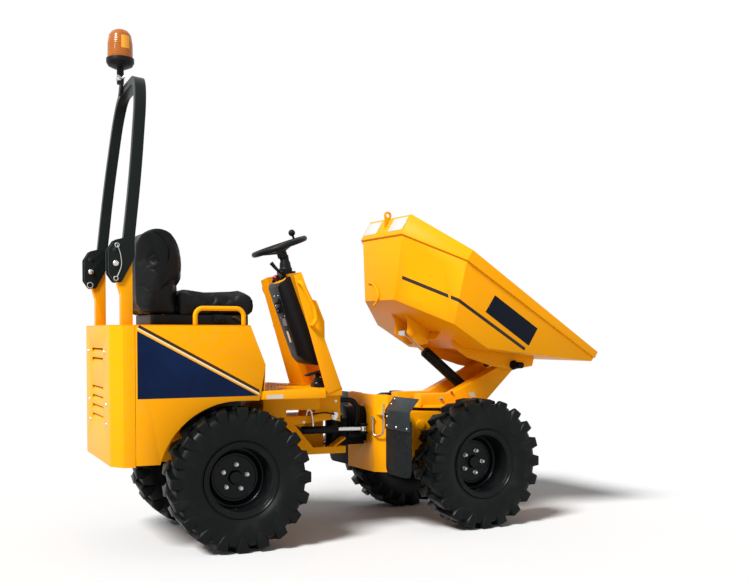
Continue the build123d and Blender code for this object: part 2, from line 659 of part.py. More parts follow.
def rops_hoop():
    crossbar = HINGE_Z + HOOP_RISE
    route = [(POST_HALF, POST_TOP + 6), (POST_HALF, HINGE_Z + 406), (285.0, HINGE_Z + 741), (200.0, crossbar)]
    points = [(hoop_leg_x(z), y, z) for y, z in route]
    points += [(x, -y, z) for x, y, z in reversed(points)]
    path = FilletPolyline(*points, radius=[1500, 350, 150, 150, 350, 1500])
    foot = Plane(origin=path @ 0, x_dir=(1, 0, -LEG_LEAN), z_dir=path % 0)
    section = foot * Rectangle(LEG_DEPTH, LEG_WIDTH)
    pieces = [sweep(section, path=path)]
    reach = POST_SIZE / 2 + 2 + HINGE_CHEEK
    for side in (-1, 1):
        y = side * POST_HALF
        inner = reach - HINGE_CHEEK / 2
        pieces += [hinge_cheek(y - inner), hinge_cheek(y + inner)]
        pieces.append(cross_bar(HINGE_X, HINGE_Z, HINGE_BOLT_RADIUS, y - reach - 6, y + reach + 6))
        pieces.append(cross_bar(HINGE_X, HINGE_Z + LOCK_RISE, 7, y - reach - 6, y + reach + 6))
        pieces.append(block((HINGE_X + 31, HINGE_X + 76), (y - reach + 2, y + reach - 2),
                            (HINGE_Z + 43, HINGE_Z + 71)))
    return join(pieces)


def beacon_base():
    """Round base on a stem and a bracket that lies along the crossbar's rear face."""
    crossbar = HINGE_Z + HOOP_RISE
    low = crossbar + BEACON_RISE - 34
    profile = [(0, 0), (30, 1), (58, 14), (BEACON_RADIUS, 30), (BEACON_RADIUS, 50), (0, 50)]
    base = Pos(BEACON_X, BEACON_Y, low) * revolve(make_face(Plane.XZ * Polyline(*profile, close=True)), Axis.Z)
    middle = (hoop_leg_x(crossbar), BEACON_Y, crossbar)
    face = Plane(origin=middle, x_dir=(1, 0, -LEG_LEAN), z_dir=(LEG_LEAN, 0, 1))
    against = -LEG_DEPTH / 2 - SEAT_GAP
    bracket = face * block((against - 12, against), (-24, 24), (-22, 62))
    stem = bar((BEACON_X, BEACON_Y, crossbar + 34), (BEACON_X, BEACON_Y, low + 4), 17)
    return join([base, bracket, stem])


def beacon_lens():
    base_top = HINGE_Z + HOOP_RISE + BEACON_RISE + 16
    high = BEACON_LENS_HEIGHT
    profile = [(0, 0), (61, 0), (60, high * 0.5), (53, high * 0.8), (40, high * 0.93), (22, high), (0, high)]
    lens = revolve(make_face(Plane.XZ * Polyline(*profile, close=True)), Axis.Z)
    return Pos(BEACON_X, BEACON_Y, base_top + SEAT_GAP) * lens


# ---------------------------------------------------------------- front half, straight ahead

def port(half, shoulder, low, x_low, x_high):
    """Round-topped block along X, as the pivot block's body and the opening round it."""
    crown = bar((x_low, 0, shoulder), (x_high, 0, shoulder), half)
    return block((x_low, x_high), (-half, half), (low, shoulder)) + crown


def front_frame():
    back = block((FRAME_REAR_X, FRAME_REAR_X + FRAME_PLATE), (-FRAME_FLAT_HALF, FRAME_FLAT_HALF),
                 (FRAME_BOTTOM, FRAME_BACK_TOP))
    back = back - port(PORT_HALF, PORT_SHOULDER, PORT_LOW, FRAME_REAR_X - 1, FRAME_REAR_X + FRAME_PLATE + 1)
    wing_x = FRAME_REAR_X + FRAME_HALF - FRAME_FLAT_HALF
    wing = plan_plate([(FRAME_REAR_X, FRAME_FLAT_HALF), (wing_x, FRAME_HALF), (wing_x, FRAME_HALF - FRAME_PLATE),
                       (FRAME_REAR_X + FRAME_PLATE, FRAME_FLAT_HALF - 4)], FRAME_BOTTOM, FRAME_BACK_TOP)
    side = side_plate([(wing_x, FRAME_BOTTOM), (wing_x, FRAME_BACK_TOP), (wing_x + 60, FRAME_BACK_TOP - 10),
                       (wing_x + 120, FRAME_TOP), (FRAME_FRONT_X, FRAME_TOP), (FRAME_FRONT_X, 480),
                       (760, 430), (420, 430), (330, FRAME_BOTTOM)], FRAME_HALF - FRAME_PLATE, FRAME_HALF)
    boss = cross_bar(wing_x + 200, FRAME_TOP - 70, 26, FRAME_HALF - FRAME_PLATE, FRAME_HALF + 8)
    top = block((FRAME_REAR_X + FRAME_PLATE, FRAME_FRONT_X), (-FRAME_HALF + 4, FRAME_HALF - 4),
                (FRAME_TOP - 10, FRAME_TOP))
    front = block((FRAME_FRONT_X - 8, FRAME_FRONT_X), (-FRAME_HALF, FRAME_HALF), (480, FRAME_TOP))
    saddle_low = AXLE_Z + AXLE_HOUSING + SEAT_GAP
    saddle = block((FRONT_AXLE_X - 80, FRONT_AXLE_X + 80), (-FRAME_HALF + 4, FRAME_HALF - 4),
                   (saddle_low, saddle_low + 22))
    return join([back, top, front, saddle] + both_sides(wing) + both_sides(side) + both_sides(boss))


def steering_lug(z):
    """Arm of the pivot block that carries the steering ram's rod end."""
    x, y = STEER_EYE
    outline = [(x - 35, -50), (x + 20, -50), (x + 23, y - 16), (x - 17, y - 16)]
    return plan_plate(outline, z, z + STEER_EAR_SHEET)


def pivot_block():
    """Cast joint between the halves: hub on the pin, body bolted to the front frame."""
    low = NOSE_BOTTOM + NOSE_PLATE + SEAT_GAP
    high = NOSE_TOP - NOSE_PLATE - SEAT_GAP
    hub = bar((0, 0, low), (0, 0, high), PIVOT_HUB_RADIUS)
    neck = block((0, FRAME_REAR_X), (-36, 36), (low + 20, high - 20))
    inside = FRAME_REAR_X + FRAME_PLATE + SEAT_GAP
    body = port(PORT_HALF - 8, PORT_SHOULDER, PORT_LOW + 24, 62, inside - 2 * SEAT_GAP)
    spigot = block((FRAME_REAR_X, inside + 2), (-50, 50), (PORT_LOW + 24, FRAME_TOP - 20))
    flange = block((inside, inside + 14), (-88, 88), (430, FRAME_TOP - 14))
    lugs = [steering_lug(STEER_Z + gap) for gap in (STEER_EAR_GAP - 6, -STEER_EAR_GAP + 6 - STEER_EAR_SHEET)]
    bore = bar((0, 0, low - 1), (0, 0, high + 1), PIVOT_PIN_RADIUS + FIT)
    return join([hub, neck, body, spigot, flange] + lugs) - bore


def mudguards():
    """Folded guard behind each front tyre."""
    inner = FRAME_HALF + SEAT_GAP
    x = GUARD_X
    guard = side_plate([(x, GUARD_FOLD_Z - 100), (x, GUARD_FOLD_Z), (x + 55, GUARD_FOLD_Z + 68),
                        (x + 58, GUARD_FOLD_Z + 65), (x + 4, GUARD_FOLD_Z - 1), (x + 4, GUARD_FOLD_Z - 100)],
                       inner, GUARD_HALF)
    return join(both_sides(guard))


def mud_flaps():
    """Rubber flap under each guard, with its lower corners rounded."""
    x = GUARD_X + 4 + SEAT_GAP
    flap = block((x, x + 8), (FRAME_HALF + 4, GUARD_HALF + 5), (FLAP_BOTTOM, GUARD_FOLD_Z - 45))
    low = flap.edges().filter_by(Axis.X).sort_by(Axis.Z)[:2]
    return join(both_sides(fillet(low, FLAP_CORNER)))


def slew_ring():
    return bar((SWIVEL_X, 0, FRAME_TOP + SEAT_GAP), (SWIVEL_X, 0, FRAME_TOP + RING_HEIGHT), RING_RADIUS)


def turntable():
    """Slewing plate with two box-section arms, a front plate between them and the ram's foot lugs."""
    disc = bar((SWIVEL_X, 0, TABLE_LOW), (SWIVEL_X, 0, TABLE_TOP), TABLE_RADIUS)
    inner = ARM_HALF - ARM_BOX
    arm = side_plate([(446, TABLE_TOP), (446, 690), (650, 690), (905, 806), (TIP_X - 18, TIP_Z + 27),
                      (TIP_X + 5, TIP_Z - 31), (867, 640), (860, TABLE_TOP)], inner, ARM_HALF)
    arm = arm + cross_bar(TIP_X, TIP_Z, 33, inner, ARM_HALF)
    arm = arm - cross_bar(TIP_X, TIP_Z, TIP_PIN_RADIUS + FIT, 0, 400)
    front = side_plate([(TIP_X + 5, TIP_Z - 31), (940, 707), (933, 715), (TIP_X - 2, TIP_Z - 23)],
                       -inner - 4, inner + 4)
    brace = block((446, 456), (-ARM_HALF, ARM_HALF), (TABLE_TOP - 1, TABLE_TOP + 14))
    lug_low = RAM_EYE_HALF + LUG_GAP
    x, z = RAM_FOOT_X, RAM_FOOT_Z
    lug = side_plate([(x - 60, TABLE_TOP), (x - 26, z + 20), (x + 4, z + 24), (x + 22, z + 8), (x + 22, z - 14),
                      (x - 7, TABLE_TOP)], lug_low, lug_low + 12)
    pin = cross_bar(x, z, RAM_PIN_RADIUS, -lug_low - 18, lug_low + 18)
    return join([disc, brace, pin, front] + both_sides(arm) + both_sides(lug))


# ---------------------------------------------------------------- skip, lowered

def skip_place(x, z):
    """Point of the skip's side view, in the front half's frame."""
    return (SKIP_REAR_X + x, RIM_Z + z)


def skip_form():
    """Closed form of the skip under its band."""
    wall = RIM_SIDE_HALF - BAND_STEP
    high = [(BAND_STEP, RIM_REAR_HALF - 8), (RIM_CORNER_X + 5, wall), (RIM_FRONT_X, wall)]
    low = [(FLOOR_REAR_X, FLOOR_REAR_HALF), (FLOOR_REAR_X + 252, FLOOR_HALF), (RIM_FRONT_X, FLOOR_HALF)]

    def section(points, z):
        loop = points + [(x, -y) for x, y in reversed(points)]
        return Pos(SKIP_REAR_X, 0, RIM_Z + z) * make_face(Polyline(*loop, close=True))

    form = loft([section(low, -FLOOR_DROP), section(high, -RIM_BAND)], ruled=True)
    rise = math.radians(FLOOR_RISE)
    reach = RIM_FRONT_X + 40
    slope = (reach - FLOOR_KNEE_X) * math.tan(rise)
    nose = side_plate([skip_place(FLOOR_KNEE_X, -FLOOR_DROP), skip_place(reach, -FLOOR_DROP + slope),
                       skip_place(reach, -FLOOR_DROP - 50),
                       skip_place(FLOOR_KNEE_X, -FLOOR_DROP - 50)], -600, 600)
    return form - nose


def skip_shell():
    form = skip_form()
    top = form.faces().sort_by(Axis.Z)[-1]
    front = form.faces().sort_by(Axis.X)[-1]
    return offset(form, amount=-SKIP_SHEET, openings=[top, front], kind=Kind.INTERSECTION)


def skip_rim():
    """Band round the sides and the rear, higher at the rear, with a rib on its rear face."""
    wall = RIM_SIDE_HALF - BAND_STEP - SKIP_SHEET
    outer = [(0, RIM_REAR_HALF), (RIM_CORNER_X, RIM_SIDE_HALF), (RIM_FRONT_X, RIM_SIDE_HALF)]
    inner = [(BAND_STEP + SKIP_SHEET, RIM_REAR_HALF - 10), (RIM_CORNER_X + 7, wall), (RIM_FRONT_X, wall)]
    loop = outer + inner[::-1] + [(x, -y) for x, y in inner] + [(x, -y) for x, y in outer[::-1]]
    strip = Pos(SKIP_REAR_X, 0, RIM_Z - 100) * extrude(make_face(Polyline(*loop, close=True)), 200)
    view = [skip_place(-20, -RIM_BAND), skip_place(RIM_FRONT_X + 10, -RIM_BAND),
            skip_place(RIM_FRONT_X + 10, -RIM_FALL), skip_place(RIM_CORNER_X, 0),
            skip_place(0, REAR_BOARD), skip_place(-20, REAR_BOARD)]
    return strip & side_plate(view, -600, 600)


def lifting_eye():
    """Teardrop plate on the rear board, with a hole for a shackle."""
    x = SKIP_REAR_X + EYE_STAND_OFF
    z = RIM_Z + EYE_RISE
    ring = cross_bar(x, z, EYE_RADIUS, -EYE_PLATE / 2, EYE_PLATE / 2)
    tail = side_plate([(x - 12, z - 16), (x + 14, z + 4), (SKIP_REAR_X - SEAT_GAP, z - 40),
                       (SKIP_REAR_X - SEAT_GAP, z - 70)], -EYE_PLATE / 2, EYE_PLATE / 2)
    return ring + tail - cross_bar(x, z, EYE_HOLE_RADIUS, -EYE_PLATE, EYE_PLATE)


def hinge_plate():
    """Left hinge plate along the skip's floor, bored for the tip pin."""
    drop = -FLOOR_DROP - SEAT_GAP
    rise = math.tan(math.radians(FLOOR_RISE))
    y_low = ARM_HALF + HINGE_GAP

    def under(x):
        return drop - 0.2 + (x - FLOOR_KNEE_X) * rise

    pivot_x = TIP_X - SKIP_REAR_X
    pivot_z = TIP_Z - RIM_Z
    plate = side_plate([skip_place(588, drop), skip_place(612, drop - 27), skip_place(722, drop - 30),
                       skip_place(896, pivot_z - 76), skip_place(pivot_x, pivot_z - 34),
                       skip_place(pivot_x + 118, pivot_z + 62),
                       skip_place(pivot_x + 104, under(pivot_x + 104)),
                       skip_place(FLOOR_KNEE_X, drop)], y_low, y_low + HINGE_PLATE)
    return plate - cross_bar(TIP_X, TIP_Z, TIP_PIN_RADIUS + FIT, 0, TIP_PIN_END)


def ram_lug():
    """Left lug for the tipping ram's eye: wide at the floor, drawn in to a rounded nose."""
    drop = -FLOOR_DROP - SEAT_GAP
    low = -RAM_EYE_DROP
    lug = side_plate([skip_place(305, drop), skip_place(342, drop - 20), skip_place(364, drop - 48),
                      skip_place(RAM_EYE_X - 20, low - 14), skip_place(RAM_EYE_X + 8, low - 23),
                      skip_place(482, low - 27), skip_place(518, low), skip_place(504, drop)],
                     RAM_LUG_IN, RAM_LUG_IN + RAM_LUG_PLATE)
    boss = cross_bar(SKIP_REAR_X + RAM_EYE_X, RIM_Z - RAM_EYE_DROP, RAM_EYE_RADIUS,
                     RAM_LUG_IN, RAM_LUG_IN + RAM_LUG_PLATE + 4)
    return lug + boss


def skip_brackets():
    """What carries the skip under its floor: hinge plates, ram lugs and a cross plate between each pair."""
    drop = -FLOOR_DROP - SEAT_GAP
    x = SKIP_REAR_X + CHANNEL_X
    cross = block((x, x + CHANNEL_SHEET), (RAM_LUG_IN, ARM_HALF + HINGE_GAP),
                  (RIM_Z + drop - CHANNEL_DEPTH, RIM_Z + drop))
    return join(both_sides(hinge_plate()) + both_sides(ram_lug()) + both_sides(cross))


def tip_pins():
    """Stub pin through each hinge plate and arm, with a collar against the plate."""
    stub = cross_bar(TIP_X, TIP_Z, TIP_PIN_RADIUS, ARM_HALF - ARM_BOX - 8, TIP_PIN_END)
    against = ARM_HALF + HINGE_GAP + HINGE_PLATE + SEAT_GAP
    collar = cross_bar(TIP_X, TIP_Z, TIP_PIN_RADIUS + 9, against, against + 8)
    return join(both_sides(stub + collar))


# ---------------------------------------------------------------- rams

def turned(point, centre, degrees):
    """(x, z) point after the skip tips forward about the centre."""
    a = math.radians(degrees)
    dx = point[0] - centre[0]
    dz = point[1] - centre[1]
    return (centre[0] + dx * math.cos(a) + dz * math.sin(a), centre[1] - dx * math.sin(a) + dz * math.cos(a))


def spun(point, degrees):
    """(x, y) point after the front half turns left about the articulation pin."""
    a = math.radians(degrees)
    return (point[0] * math.cos(a) - point[1] * math.sin(a), point[0] * math.sin(a) + point[1] * math.cos(a))


RAM_FOOT = (RAM_FOOT_X, RAM_FOOT_Z)
RAM_EYE = turned(skip_place(RAM_EYE_X, -RAM_EYE_DROP), (TIP_X, TIP_Z), TIP_REST)
RAM_SPAN = math.dist(RAM_FOOT, RAM_EYE)
STEER_TIP = spun(STEER_EYE, STEER_REST)
STEER_SPAN = math.dist(STEER_FOOT, STEER_TIP)


def between(start, end, part):
    return [a + (b - a) * part for a, b in zip(start, end)]


def along_ram(distance):
    x, z = between(RAM_FOOT, RAM_EYE, distance / RAM_SPAN)
    return (x, 0, z)


def along_steer(distance):
    x, y = between(STEER_FOOT, STEER_TIP, distance / STEER_SPAN)
    return (x, y, STEER_Z)


def tip_ram_barrel():
    """Barrel with its foot eye and a stepped gland."""
    eye = cross_bar(*RAM_FOOT, 22, -RAM_EYE_HALF, RAM_EYE_HALF)
    tube = bar(along_ram(20), along_ram(RAM_BARREL - 8), RAM_RADIUS)
    gland = bar(along_ram(RAM_BARREL - 10), along_ram(RAM_BARREL), RAM_RADIUS - 7)
    bore = bar(along_ram(34), along_ram(RAM_BARREL + 1), RAM_ROD_RADIUS + 0.5)
    hole = cross_bar(*RAM_FOOT, RAM_PIN_RADIUS + FIT, -60, 60)
    return eye + tube + gland - bore - hole


def tip_ram_rod():
    eye = cross_bar(*RAM_EYE, RAM_EYE_RADIUS, -RAM_EYE_HALF, RAM_EYE_HALF)
    shaft = bar(along_ram(RAM_ROD_START), along_ram(RAM_SPAN - 8), RAM_ROD_RADIUS)
    return eye + shaft


def steer_ram_barrel():
    eye = bar((*STEER_FOOT, STEER_Z - 15), (*STEER_FOOT, STEER_Z + 15), 20)
    tube = bar(along_steer(14), along_steer(STEER_BARREL), STEER_RADIUS)
    hole = bar((*STEER_FOOT, STEER_Z - 40), (*STEER_FOOT, STEER_Z + 40), STEER_PIN_RADIUS + FIT)
    return eye + tube - bar(along_steer(30), along_steer(STEER_BARREL + 1), STEER_ROD_RADIUS + 0.5) - hole


def steer_ram_rod():
    eye = bar((*STEER_TIP, STEER_Z - 12), (*STEER_TIP, STEER_Z + 12), 18)
    return eye + bar(along_steer(STEER_ROD_START), along_steer(STEER_SPAN - 8), STEER_ROD_RADIUS)


# ---------------------------------------------------------------- placing

STEERED = Location((0, 0, 0), (0, 0, STEER_REST))
TIPPED = STEERED * Location((TIP_X, 0, TIP_Z), (0, TIP_REST, 0)) * Location((-TIP_X, 0, -TIP_Z))
REAR = Location((0, 0, 0))


def wheel_place(x, side):
    """A wheel on its axle; side is +1 on the left, and its dish faces out."""
    turn = 0 if side > 0 else 180
    return Location((x, side * TRACK / 2, AXLE_Z), (0, 0, turn))


def build():
    # Each row is a place and the functions whose nodes stand there.
    table = [
        (REAR, (rear_frame, engine_block, rear_cowl, seat_deck, footplate, console_shell, control_box,
                console_rails, seat_pan, seat_cushion, seat_back, seat_rails, rops_posts, steering_column,
                rops_hoop, beacon_base, beacon_lens, steering_wheel, steer_ram_barrel, steer_ram_rod)),
        (STEERED, (front_frame, pivot_block, mudguards, mud_flaps, slew_ring, turntable, tip_ram_barrel,
                   tip_ram_rod)),
        (TIPPED, (skip_shell, skip_rim, skip_brackets, tip_pins, lifting_eye)),
    ]
    nodes = {}
    for place, makers in table:
        for maker in makers:
            nodes[maker.__name__] = place * maker()
    left = side_panel()
    nodes["side_panel_left"] = left
    nodes["side_panel_right"] = mirror(left, about=Plane.XZ)
    left_tyre = tyre()
    right_tyre = mirror(left_tyre, about=Plane.YZ)
    rim_form = rim()
    for end, x, place in (("rear", REAR_AXLE_X, REAR), ("front", FRONT_AXLE_X, STEERED)):
        nodes[f"{end}_axle"] = place * axle(x)
        for side_name, side in (("left", 1), ("right", -1)):
            here = place * wheel_place(x, side)
            nodes[f"tyre_{end}_{side_name}"] = here * (left_tyre if side > 0 else right_tyre)
            nodes[f"rim_{end}_{side_name}"] = here * rim_form
    return nodes


def overall_shift(nodes):
    """Puts the origin on the ground under the middle of the whole machine."""
    boxes = [shape.bounding_box() for shape in nodes.values()]
    x_middle = (min(b.min.X for b in boxes) + max(b.max.X for b in boxes)) / 2
    y_middle = (min(b.min.Y for b in boxes) + max(b.max.Y for b in boxes)) / 2
    z_low = min(b.min.Z for b in boxes)
    return (-x_middle, -y_middle, -z_low)


NODES = build()
SHIFT = overall_shift(NODES)
os.makedirs("parts", exist_ok=True)
for name, shape in NODES.items():
    export_step(Pos(*SHIFT) * shape, f"parts/{name}.step")
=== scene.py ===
"""Articulated site dumper: finishes, soft parts, small fittings, stage and camera.

The packed model gives every size and place. Metres, X forward, Y left, Z up.
"""
import json
import math

import bmesh
import bpy
from mathutils import Matrix, Vector

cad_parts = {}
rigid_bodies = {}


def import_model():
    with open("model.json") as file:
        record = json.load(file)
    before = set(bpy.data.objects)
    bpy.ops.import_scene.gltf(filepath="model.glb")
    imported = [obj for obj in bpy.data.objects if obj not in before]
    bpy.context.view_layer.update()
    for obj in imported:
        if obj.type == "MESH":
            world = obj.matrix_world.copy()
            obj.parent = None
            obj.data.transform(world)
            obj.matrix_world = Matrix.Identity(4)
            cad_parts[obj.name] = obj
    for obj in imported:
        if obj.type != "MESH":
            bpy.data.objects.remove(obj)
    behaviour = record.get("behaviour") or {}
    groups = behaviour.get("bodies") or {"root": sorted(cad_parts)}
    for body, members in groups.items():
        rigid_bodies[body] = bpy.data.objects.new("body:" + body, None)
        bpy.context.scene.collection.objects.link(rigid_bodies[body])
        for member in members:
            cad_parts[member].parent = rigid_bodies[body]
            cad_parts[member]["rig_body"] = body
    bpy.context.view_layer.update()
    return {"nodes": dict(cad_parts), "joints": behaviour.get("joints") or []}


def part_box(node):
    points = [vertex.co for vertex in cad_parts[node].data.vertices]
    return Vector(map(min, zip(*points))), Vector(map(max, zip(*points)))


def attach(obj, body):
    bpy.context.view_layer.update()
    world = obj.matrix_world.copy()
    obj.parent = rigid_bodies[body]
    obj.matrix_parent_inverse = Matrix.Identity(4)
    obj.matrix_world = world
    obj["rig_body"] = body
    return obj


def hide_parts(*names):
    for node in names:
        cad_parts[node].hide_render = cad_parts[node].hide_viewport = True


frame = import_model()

bl_info = {
    "name": "Site Dumper",
    "version": (1, 1, 0),
    "blender": (4, 5, 0),
    "location": "View3D > Sidebar > Dumper",
    "description": "Dresses the articulated site dumper",
    "category": "Object",
}

NODES = frame["nodes"]
JOINTS = {joint["name"]: joint for joint in frame["joints"]}


def joint_place(name):
    return Vector(JOINTS[name]["pos_m"])


# Places taken from the frame. REAR stands on the ground under the articulation pin; FRONT turns with
# the steering, SKIP is the skip's own frame: x from its rear rim, z from the height of its side rims.
PIVOT = joint_place("steer")
SWIVEL = joint_place("skip_swivel")
STEER_TURN = math.atan2(SWIVEL.y - PIVOT.y, SWIVEL.x - PIVOT.x)
TIP_TURN = -math.radians(JOINTS["skip_tip"]["range_deg"][0])
REAR = Matrix.Translation((PIVOT.x, PIVOT.y, 0))
FRONT = REAR @ Matrix.Rotation(STEER_TURN, 4, "Z")
TIP = FRONT.inverted() @ joint_place("skip_tip")
SKIP_REAR_X = 0.034
SKIP_RIM_Z = 1.110
SKIP = (FRONT @ Matrix.Translation(TIP) @ Matrix.Rotation(TIP_TURN, 4, "Y")
        @ Matrix.Translation(Vector((SKIP_REAR_X, 0, SKIP_RIM_Z)) - TIP))

# Sizes shared by several pieces.
PANEL_HALF = 0.421
BODY_REAR = -1.218
DECK_Z = 0.745
FILM_GAP = 0.0001
LUG_WIDTH = 0.045
FOOT_SPREAD = 0.72
NUT_CIRCLE = 0.061
NUT_FACE = -0.0458
SIDES = ((-1, "right"), (1, "left"))
OUT_RIGHT = Matrix.Rotation(math.radians(90), 4, "X")


# ------------------------------------------------------------------ sizes and colours

class DumperPaint(bpy.types.PropertyGroup):
    """Colours and finish of the painted parts."""
    body: bpy.props.FloatVectorProperty(
        name="Body colour", description="Enamel on the bodywork and the skip",
        subtype="COLOR", size=3, min=0, max=1, default=(0.86, 0.335, 0.002))
    decal: bpy.props.FloatVectorProperty(
        name="Decal colour", description="Navy triangle on the side panels",
        subtype="COLOR", size=3, min=0, max=1, default=(0.003, 0.009, 0.034))
    hoop: bpy.props.FloatVectorProperty(
        name="Roll bar colour", description="Paint of the folding roll bar",
        subtype="COLOR", size=3, min=0, max=1, default=(0.006, 0.009, 0.008))
    wear: bpy.props.FloatProperty(
        name="Wear", description="Dust, scuffs and dulled edges",
        subtype="FACTOR", min=0, max=1, default=0.12)


class DumperTyre(bpy.types.PropertyGroup):
    """Tread of the tyres."""
    lugs: bpy.props.IntProperty(
        name="Lugs a side", description="Lugs round each side of the tread", min=8, max=40, default=20)
    lug_width: bpy.props.FloatProperty(
        name="Lug width", description="Width of a lug at the shoulder",
        subtype="DISTANCE", unit="LENGTH", min=0.01, max=0.08, default=LUG_WIDTH)
    rear_turn: bpy.props.FloatProperty(name="Rear wheel turn",
        description="How the rear wheels' nuts stand", subtype="ANGLE", default=0.129)
    front_turn: bpy.props.FloatProperty(name="Front wheel turn",
        description="How the front wheels' nuts stand", subtype="ANGLE", default=0.351)


class DumperStage(bpy.types.PropertyGroup):
    """Camera, lamps and floor."""
    lens: bpy.props.FloatProperty(
        name="Focal length", description="Camera lens on a 36 mm sensor", min=10, max=200, default=48.85)
    shift_x: bpy.props.FloatProperty(
        name="Shift X", description="Sideways lens shift", default=-0.0044)
    shift_y: bpy.props.FloatProperty(
        name="Shift Y", description="Upward lens shift", default=0.1013)
    yaw: bpy.props.FloatProperty(
        name="Yaw", description="Turn of the view from +Y towards +X",
        subtype="ANGLE", default=math.radians(24.45))
    pitch: bpy.props.FloatProperty(
        name="Pitch", description="Downward tilt of the view", subtype="ANGLE", default=math.radians(1.88))
    place: bpy.props.FloatVectorProperty(
        name="Camera place", description="Camera from the articulation pin, on the ground",
        subtype="TRANSLATION", size=3, default=(-2.0107, -4.9976, 1.0167))
    key: bpy.props.FloatProperty(
        name="Key light", description="Strength of the sun lamp", min=0, default=5.2)
    fill: bpy.props.FloatProperty(
        name="Sky light", description="Strength of the world", min=0, default=0.36)


# ------------------------------------------------------------------ shader wrapper

class Value:
    """One output of a shader tree; arithmetic on it adds Math nodes."""

    def __init__(self, tree, socket):
        self.tree = tree
        self.socket = socket

    def math(self, operation, *others, clamp=False):
        node = self.tree.node("ShaderNodeMath", {"operation": operation, "use_clamp": clamp}, self, *others)
        return node.out(0)

    def __add__(self, other):
        return self.math("ADD", other)

    def __mul__(self, other):
        return self.math("MULTIPLY", other)

    def clamp(self):
        return self.math("ADD", 0.0, clamp=True)

    def smooth(self, low, high):
        """0 under low, 1 over high, smooth between."""
        node = self.tree.node("ShaderNodeMapRange", {"interpolation_type": "SMOOTHSTEP"}, self, low, high,
            0.0, 1.0)
        return node.out(0)


class ShaderNode:
    """A placed node and its outputs."""

    def __init__(self, tree, node):
        self.tree = tree
        self.raw = node

    def out(self, key):
        return Value(self.tree, self.raw.outputs[key])


class Shader:
    """A material's node tree with a Principled surface."""

    def __init__(self, name):
        self.material = bpy.data.materials.new(name)
        self.material.use_nodes = True
        self.tree = self.material.node_tree
        self.surface = self.tree.nodes["Principled BSDF"]
        self.objects = None

    def link(self, source, target):
        if isinstance(source, Value):
            self.tree.links.new(source.socket, target)
        elif source is not None:
            target.default_value = source

    def node(self, kind, settings=None, *inputs, **named):
        made = self.tree.nodes.new(kind)
        for key, value in (settings or {}).items():
            setattr(made, key, value)
        for index, value in enumerate(inputs):
            self.link(value, made.inputs[index])
        for key, value in named.items():
            self.link(value, made.inputs[key.replace("_", " ")])
        return ShaderNode(self, made)

    def place(self):
        """Object coordinates, in metres."""
        if self.objects is None:
            self.objects = self.node("ShaderNodeTexCoord").out("Object")
        return self.objects

    def height(self):
        return self.node("ShaderNodeSeparateXYZ", None, self.place()).out(2)

    def noise(self, scale, detail=4.0, roughness=0.55):
        node = self.node("ShaderNodeTexNoise", {"noise_dimensions": "3D"}, self.place(),
                         Scale=scale, Detail=detail, Roughness=roughness)
        return node.out("Fac")

    def mix(self, factor, first, second):
        node = self.node("ShaderNodeMix", {"data_type": "RGBA"})
        raw = node.raw
        self.link(factor, raw.inputs[0])
        for value, socket in ((first, raw.inputs[6]), (second, raw.inputs[7])):
            self.link(value if isinstance(value, Value) else (*value, 1), socket)
        return Value(self, raw.outputs[2])

    def bump(self, height, strength, distance):
        return self.node("ShaderNodeBump", None, Strength=strength, Distance=distance,
            Height=height).out("Normal")

    def set(self, **values):
        for key, value in values.items():
            socket = self.surface.inputs[key.replace("_", " ")]
            if isinstance(value, tuple) and len(value) == 3 and socket.type == "RGBA":
                value = (*value, 1)
            self.link(value, socket)
        return self


MATERIALS = {}


def finish_of(name, dress, *look):
    """Finish by name: its material is dressed once, when it is first asked for."""
    def get():
        if name not in MATERIALS:
            shader = Shader(name)
            dress(shader, *look)
            MATERIALS[name] = shader.material
        return MATERIALS[name]
    return get


def material(function):
    """Turns a function that dresses a shader into the finish of the same name."""
    return finish_of(function.__name__, function)


def paint(shader, colour, roughness=0.34, orange_peel=0.012, dust=(0.36, 0.25, 0.12), gloss=0.05):
    """Enamel: slight shade changes, fine orange peel, dust that gathers in patches, dulled edges."""
    wear = bpy.context.scene.dumper_paint.wear
    broad = shader.noise(1.7, 3.0)
    fine = shader.noise(38.0, 5.0, 0.6)
    patches = shader.noise(6.5, 6.0, 0.62).smooth(0.56, 0.80)
    base = shader.mix(broad.smooth(0.3, 0.7), tuple(c * 0.95 for c in colour), colour)
    edge = shader.node("ShaderNodeNewGeometry").out("Pointiness").smooth(0.52, 0.58)
    scuffed = (edge * fine.smooth(0.45, 0.62) * wear).clamp()
    base = shader.mix(patches * (wear * 0.35), base, dust)
    base = shader.mix(scuffed, base, tuple(min(1.0, c * 0.6 + 0.08) for c in colour))
    shader.set(Base_Color=base, Roughness=(fine * 0.08 + patches * (wear * 0.4)
        + (roughness - 0.04)).clamp(), Specular_IOR_Level=gloss,
        Normal=shader.bump(shader.noise(420.0, 2.0), orange_peel, 0.001))


@material
def body_paint(shader):
    paint(shader, tuple(bpy.context.scene.dumper_paint.body))


@material
def hoop_paint(shader):
    paint(shader, tuple(bpy.context.scene.dumper_paint.hoop), 0.36, 0.05, (0.05, 0.055, 0.05), 0.12)


black_paint = finish_of("black_paint", paint, (0.005, 0.006, 0.007), 0.36, 0.05, (0.03, 0.028, 0.022), 0.08)
rim_paint = finish_of("rim_paint", paint, (0.003, 0.004, 0.005), 0.26, 0.03, (0.02, 0.02, 0.018), 0.14)
grey_paint = finish_of("grey_paint", paint, (0.022, 0.030, 0.033), 0.42, 0.06, (0.07, 0.07, 0.065), 0.1)


